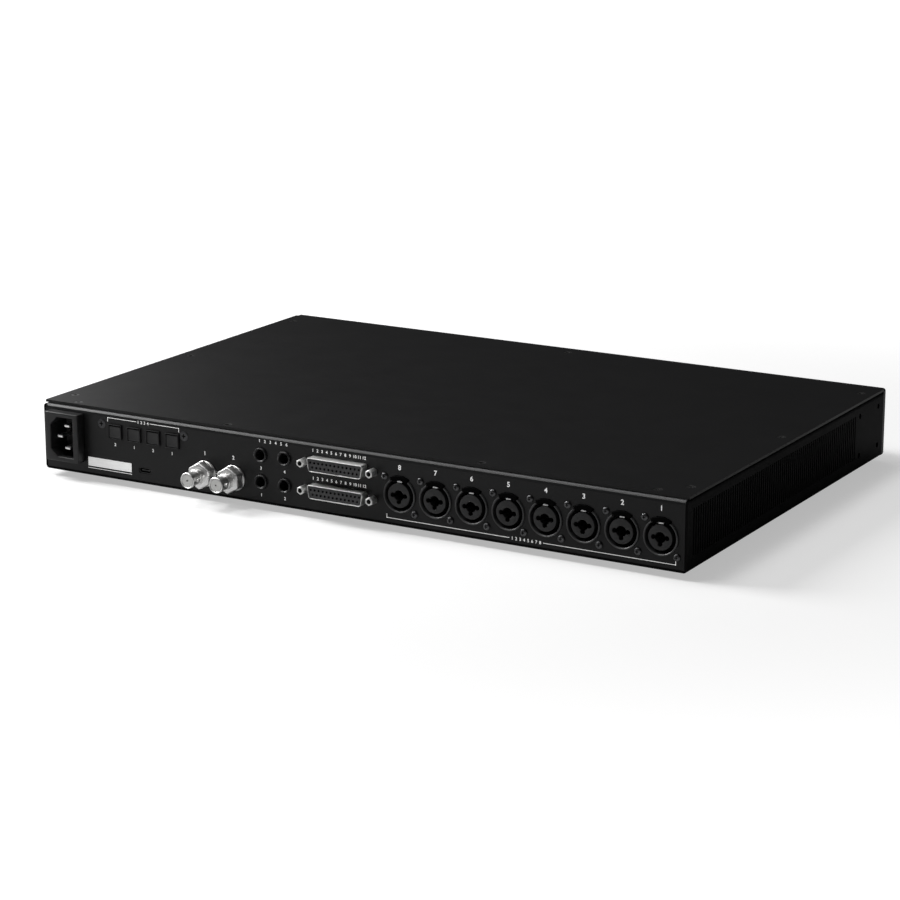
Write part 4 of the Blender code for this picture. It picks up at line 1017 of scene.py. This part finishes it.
row_figures = figure_row(*ROW_ENDS, down=0.0057, count=12)
row_figures += figure_row(*ROW_ENDS, down=0.0225, count=12)
printed("row_figures", row_figures)
FIELD = ((0.0328, 0.0316), (0.0655, 0.0372))
FIELD_RULE_DOWN = 0.0384
field_middle = (on_panel(*FIELD[0]) + on_panel(*FIELD[1])) / 2 + Vector((0.0, INK / 2, 0.0))
field = bmesh.new()
block(field, field_middle, (FIELD[1][0] - FIELD[0][0], INK, FIELD[1][1] - FIELD[0][1]))
field_rule = rule(on_panel(FIELD[0][0], FIELD_RULE_DOWN), on_panel(FIELD[1][0], FIELD_RULE_DOWN))
printed("blank_field", [field, field_rule])

# Top cover: a flat steel lid in the same satin black coat.
# Countersunk black screws hold it down along the rear edge, the sides and the front.
# It stops short of the panel's bend, which leaves a dark joint line over the bright bend.
cover_coat = powder_coat("cover_coat", (0.0038, 0.0038, 0.0041), (0.0046, 0.0046, 0.0049), rough=0.41)
dress("top_cover", cover_coat)
COVER_SCREW_RADIUS = 0.0029
REAR_ROW_IN = 0.0068
REAR_ROW_ENDS = (0.0216, 0.1320)
FRONT_ROW_IN = 0.0072
SIDE_ROW_IN = 0.0084
SIDE_ROW_START = 0.0206
SIDE_ROW_STEP = 0.1226
rear_row = REAR - REAR_ROW_IN
front_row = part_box("top_cover")[0].y + FRONT_ROW_IN
cover_places = [Vector((0.0, front_row, CASE_TOP))]
for side in (-1, 1):
    for inset in REAR_ROW_ENDS:
        cover_places.append(Vector((side * (LEFT - inset), rear_row, CASE_TOP)))
    for index in range(3):
        along = REAR - SIDE_ROW_START - index * SIDE_ROW_STEP
        cover_places.append(Vector((side * (LEFT - SIDE_ROW_IN), along, CASE_TOP)))
SINK = 0.00012
SINK_EDGE = 0.0001
SOCKET_HOLE = (0.0010, 0.0012, 0.0009)
HEAD_NECK = (0.0017, 0.0013)
head_profile = [
    (0.0, -SOCKET_HOLE[2]),
    (SOCKET_HOLE[0], -SOCKET_HOLE[2]),
    (SOCKET_HOLE[1], -SINK),
    (COVER_SCREW_RADIUS - 2 * SINK_EDGE, -SINK),
    (COVER_SCREW_RADIUS - SINK_EDGE, -SINK - SINK_EDGE),
    (HEAD_NECK[0], -HEAD_NECK[1]),
    (0.0, -HEAD_NECK[1]),
]
cover_head = spun(head_profile, steps=24)
upright = Matrix.Rotation(math.pi / 2, 3, "X")
bmesh.ops.rotate(cover_head, verts=cover_head.verts[:], cent=(0, 0, 0), matrix=upright)
screw_bright = plated("screw_bright", (0.10, 0.10, 0.10), (0.20, 0.20, 0.20), rough=0.32)
fit("cover_screws", copies(cover_head, cover_places), screw_bright, "case")

# Front plate: thick aluminium, black anodised and finely brushed along its length.
# Its edges are rounded over, and the controls stand on it.
# Fine white ticks stand round the knobs.


def anodised(name):
    """Dark anodised aluminium with long brush lines."""
    material, tree, shader, place = node_material(name)
    shader.inputs["Metallic"].default_value = 0.6
    lines = noise(tree, place, 900.0, 4.0, (0.02, 1.0, 1.0))
    shade_between(tree, lines, (0.018, 0.018, 0.020), (0.030, 0.030, 0.033), shader.inputs["Base Color"])
    remap(tree, lines, NOISE_SPAN, (0.32, 0.46), shader.inputs["Roughness"])
    bump_from(tree, lines, 0.12, 0.00004, shader)
    return material


dress("front_panel", anodised("fascia_anodised"))
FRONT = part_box("front_panel")[0].y

# Knobs: moulded black caps with a fine grip round the side and a white pointer line.
# Each sits on its shaft just clear of the front plate.
# The large one sets the monitor level.
knob_plastic = moulded("knob_plastic", (0.014, 0.014, 0.015), (0.022, 0.022, 0.023), rough=0.42)
KNOB_FACE = ((0.0028, 0.0004), (0.0018, 0.0), (0.0013, 0.0001), (0.0008, 0.0006))
KNOB_SKIRT = ((0.0002, 0.0022), (0.0, 0.0018), (0.0, 0.0004))
GRIP_TEETH = 40
GRIP_BAND = 0.0016
GRIP_ENDS = (0.0020, 0.0003)
GRIP_DEEP = 0.00022
POINTER_SIZE = (0.0010, 0.0003)
POINTER_LONG = 0.55
POINTER_OUT = 0.50
POINTER_UP = 0.00005
TICKS = 11
TICK_TURNS = (-150.0, 30.0)
TICK_OUT = 0.0022
TICK_SIZE = (0.0004, 0.0014)
knob_names = [f"gain_knob_{number}" for number in range(1, 9)]
knob_names += ["monitor_knob", "phones_knob_1", "phones_knob_2"]
tick_marks = []
for name in knob_names:
    low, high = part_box(name)
    radius = (high.x - low.x) / 2
    axis = next(joint["pos_m"] for joint in frame["joints"] if joint["child"] == name)
    centre = Vector((axis[0], FRONT, axis[2]))
    length = FRONT - low.y
    dish = length - KNOB_FACE[0][1]
    profile = [(0.0, dish)]
    profile += [(radius - inset, length - down) for inset, down in KNOB_FACE]
    profile += [(radius - inset, up) for inset, up in KNOB_SKIRT]
    profile += [(0.0, KNOB_SKIRT[-1][1])]
    cap = spun(profile, 2 * GRIP_TEETH)
    for vert in cap.verts:
        reach = math.hypot(vert.co.x, vert.co.z)
        turn = math.atan2(vert.co.z, vert.co.x)
        if reach > radius - GRIP_BAND and GRIP_ENDS[0] < vert.co.y < length - GRIP_ENDS[1]:
            groove = GRIP_DEEP * (round(turn / math.pi * GRIP_TEETH) % 2)
            vert.co.x *= (reach - groove) / reach
            vert.co.z *= (reach - groove) / reach
    about = Matrix.Rotation(math.pi, 3, "Z")
    bmesh.ops.rotate(cap, verts=cap.verts[:], cent=(0, 0, 0), matrix=about)
    shift(cap, centre)
    fit(f"{name}_cap", cap, knob_plastic, name, [name], 40.0)
    pointer = bmesh.new()
    middle = centre + Vector((0.0, -dish - POINTER_UP, radius * POINTER_OUT))
    block(pointer, middle, (*POINTER_SIZE, radius * POINTER_LONG))
    soften(pointer, width=0.0001)
    fit(f"{name}_pointer", pointer, glowing_print, name)
    far = radius + TICK_OUT
    for step in range(TICKS):
        angle = math.radians(TICK_TURNS[0] + TICK_TURNS[1] * step)
        spot = centre + Vector((far * math.sin(angle), -INK / 2, far * math.cos(angle)))
        tick = bmesh.new()
        block(tick, spot, (TICK_SIZE[0], INK, TICK_SIZE[1]), Matrix.Rotation(angle, 4, "Y"))
        tick_marks.append(tick)
FRONT_FIGURE_TALL = 0.0026
FRONT_FIGURE_DOWN = 0.0062
for number in range(1, 9):
    low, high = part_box(f"gain_knob_{number}")
    above = Vector(((low.x + high.x) / 2, FRONT, CASE_TOP - FRONT_FIGURE_DOWN))
    tick_marks.append(lettering(str(number), FRONT_FIGURE_TALL, above, FACING_FRONT))
printed("front_ticks", tick_marks)

# Buttons: moulded caps that slide in the front plate, with a shallow dished face.
# Four small ones choose functions and the square one switches the power.
# Their faces are bare.
button_plastic = moulded("button_plastic", (0.020, 0.020, 0.021), (0.030, 0.030, 0.031), rough=0.36)
BUTTON_FLANGE = 0.0012
BUTTON_ROOT = 0.0040
BUTTON_BORDER = 0.0007
BUTTON_DISH = 0.00025
for name in [f"function_button_{number}" for number in range(1, 5)] + ["power_button"]:
    low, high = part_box(name)
    size = high - low - Vector((2 * BUTTON_FLANGE, 0.0, 2 * BUTTON_FLANGE))
    size.y = FRONT - low.y + BUTTON_ROOT
    middle = Vector(((low.x + high.x) / 2, low.y + size.y / 2, (low.z + high.z) / 2))
    button = bmesh.new()
    block(button, (0.0, 0.0, 0.0), size)
    fronts = [each for each in button.faces if each.normal.y < -0.9]
    bmesh.ops.inset_region(button, faces=fronts, thickness=BUTTON_BORDER)
    bmesh.ops.translate(button, verts=fronts[0].verts[:], vec=(0.0, BUTTON_DISH, 0.0))
    soften(button, width=0.0004, segments=3, angle=20.0)
    shift(button, middle)
    fit(f"{name}_cap", button, button_plastic, name, [name])

# Headphone jacks: a stacked pair in the front plate, like those on the rear panel.
# Black moulded noses with a raised rim round each bore.
# They face the user.
phones = [axis_of(f"phones_jack_{row}", FRONT) for row in ("lower", "upper")]
noses = copies(jack_nose(), phones, math.pi)
fit("phones_jack_noses", noses, jack_plastic, "case", ["phones_jack"])

# Floor: a plain pale studio floor under the part.
# It stays white to the camera and keeps the soft shadow.
# The part stands on its feet at floor level.
FLOOR_HALF = 6.0
FLOOR_BOUNCE = (0.52, 0.52, 0.52, 1.0)
FLOOR_SEEN = (0.60, 0.60, 0.60, 1.0)
GLOW_REACH = (0.30, 0.90)
GLOW_LEVELS = (0.45, 1.0)
floor_shape = bmesh.new()
bmesh.ops.create_grid(floor_shape, x_segments=1, y_segments=1, size=FLOOR_HALF)
floor_mesh = bpy.data.meshes.new("floor")
floor_shape.to_mesh(floor_mesh)
floor_shape.free()
floor = bpy.data.objects.new("floor", floor_mesh)
scene.collection.objects.link(floor)
floor_paper = bpy.data.materials.new("floor_paper")
floor_paper.use_nodes = True
tree = floor_paper.node_tree
tree.nodes.clear()
output = tree.nodes.new("ShaderNodeOutputMaterial")
paper = tree.nodes.new("ShaderNodeBsdfDiffuse")
glow = tree.nodes.new("ShaderNodeEmission")
glow.inputs["Color"].default_value = (1.0, 1.0, 1.0, 1.0)
rays = tree.nodes.new("ShaderNodeLightPath")
paper_tone = tree.nodes.new("ShaderNodeMix")
paper_tone.data_type = "RGBA"
paper_tone.inputs["A"].default_value = FLOOR_BOUNCE
paper_tone.inputs["B"].default_value = FLOOR_SEEN
tree.links.new(rays.outputs["Is Camera Ray"], paper_tone.inputs["Factor"])
tree.links.new(paper_tone.outputs["Result"], paper.inputs["Color"])
place = tree.nodes.new("ShaderNodeTexCoord")
apart = tree.nodes.new("ShaderNodeVectorMath")
apart.operation = "LENGTH"
tree.links.new(place.outputs["Object"], apart.inputs[0])
seen = tree.nodes.new("ShaderNodeMath")
seen.operation = "MULTIPLY"
tree.links.new(rays.outputs["Is Camera Ray"], seen.inputs[0])
far_glow = remap(tree, apart.outputs["Value"], GLOW_REACH, GLOW_LEVELS, seen.inputs[1])
far_glow.interpolation_type = "SMOOTHSTEP"
tree.links.new(seen.outputs["Value"], glow.inputs["Strength"])
both = tree.nodes.new("ShaderNodeAddShader")
tree.links.new(paper.outputs["BSDF"], both.inputs[0])
tree.links.new(glow.outputs["Emission"], both.inputs[1])
tree.links.new(both.outputs["Shader"], output.inputs["Surface"])
floor_mesh.materials.append(floor_paper)

# Light and camera: a large soft box on the mains side, one overhead, one for the panel's bend and a fill.
# The room is dim, but the camera sees it as white.
# The camera stands where the photograph was taken, on a long lens.


def soft_box(name, place, target, size, power):
    """A large area lamp, aimed at a target."""
    lamp = bpy.data.lights.new(name, "AREA")
    lamp.shape = "RECTANGLE"
    lamp.size = size[0]
    lamp.size_y = size[1]
    lamp.energy = power
    holder = bpy.data.objects.new(name, lamp)
    holder.location = place
    aim = Vector(target) - Vector(place)
    holder.rotation_euler = aim.to_track_quat("-Z", "Y").to_euler()
    scene.collection.objects.link(holder)


soft_box("key_box", (1.30, 0.30, 1.00), (0.0, 0.0, 0.03), size=(0.7, 0.7), power=27.0)
soft_box("top_box", (0.6, -0.2, 2.0), (0.1, 0.0, 0.03), size=(1.6, 1.2), power=9.0)
soft_box("edge_box", (0.46, 0.52, 1.67), (-0.08, 0.14, 0.04), size=(0.5, 0.5), power=8.0)
soft_box("back_box", (2.5, -1.7, 0.8), (0.0, 0.0, 0.03), size=(1.3, 1.0), power=6.5)
ROOM_LEVELS = (0.03, 1.0)
world = bpy.data.worlds.new("studio")
world.use_nodes = True
sky = world.node_tree
room = sky.nodes["Background"]
rays = sky.nodes.new("ShaderNodeLightPath")
direct = sky.nodes.new("ShaderNodeMath")
direct.operation = "MAXIMUM"
sky.links.new(rays.outputs["Is Camera Ray"], direct.inputs[0])
sky.links.new(rays.outputs["Is Transmission Ray"], direct.inputs[1])
remap(sky, direct.outputs["Value"], (0.0, 1.0), ROOM_LEVELS, room.inputs["Strength"])
room.inputs["Color"].default_value = (1.0, 1.0, 1.0, 1.0)
scene.world = world

FILM = 0.036
PHOTO = 900
FOCAL_PIXELS = 2760.0
EYE = Vector((-0.8258, 1.4407, 0.4573))
SIGHT = Vector((0.4860, -0.8345, -0.2594))
ROLL = math.radians(-0.08)
camera_data = bpy.data.cameras.new("camera")
camera_data.sensor_width = FILM * 1000
camera_data.lens = FOCAL_PIXELS / PHOTO * FILM * 1000
camera_data.clip_end = 50.0
camera = bpy.data.objects.new("camera", camera_data)
look = SIGHT.to_track_quat("-Z", "Y").to_matrix().to_4x4()
camera.matrix_world = Matrix.Translation(EYE) @ look @ Matrix.Rotation(ROLL, 4, "Z")
scene.collection.objects.link(camera)
scene.camera = camera
scene.view_settings.view_transform = "Standard"

bpy.context.view_layer.update()
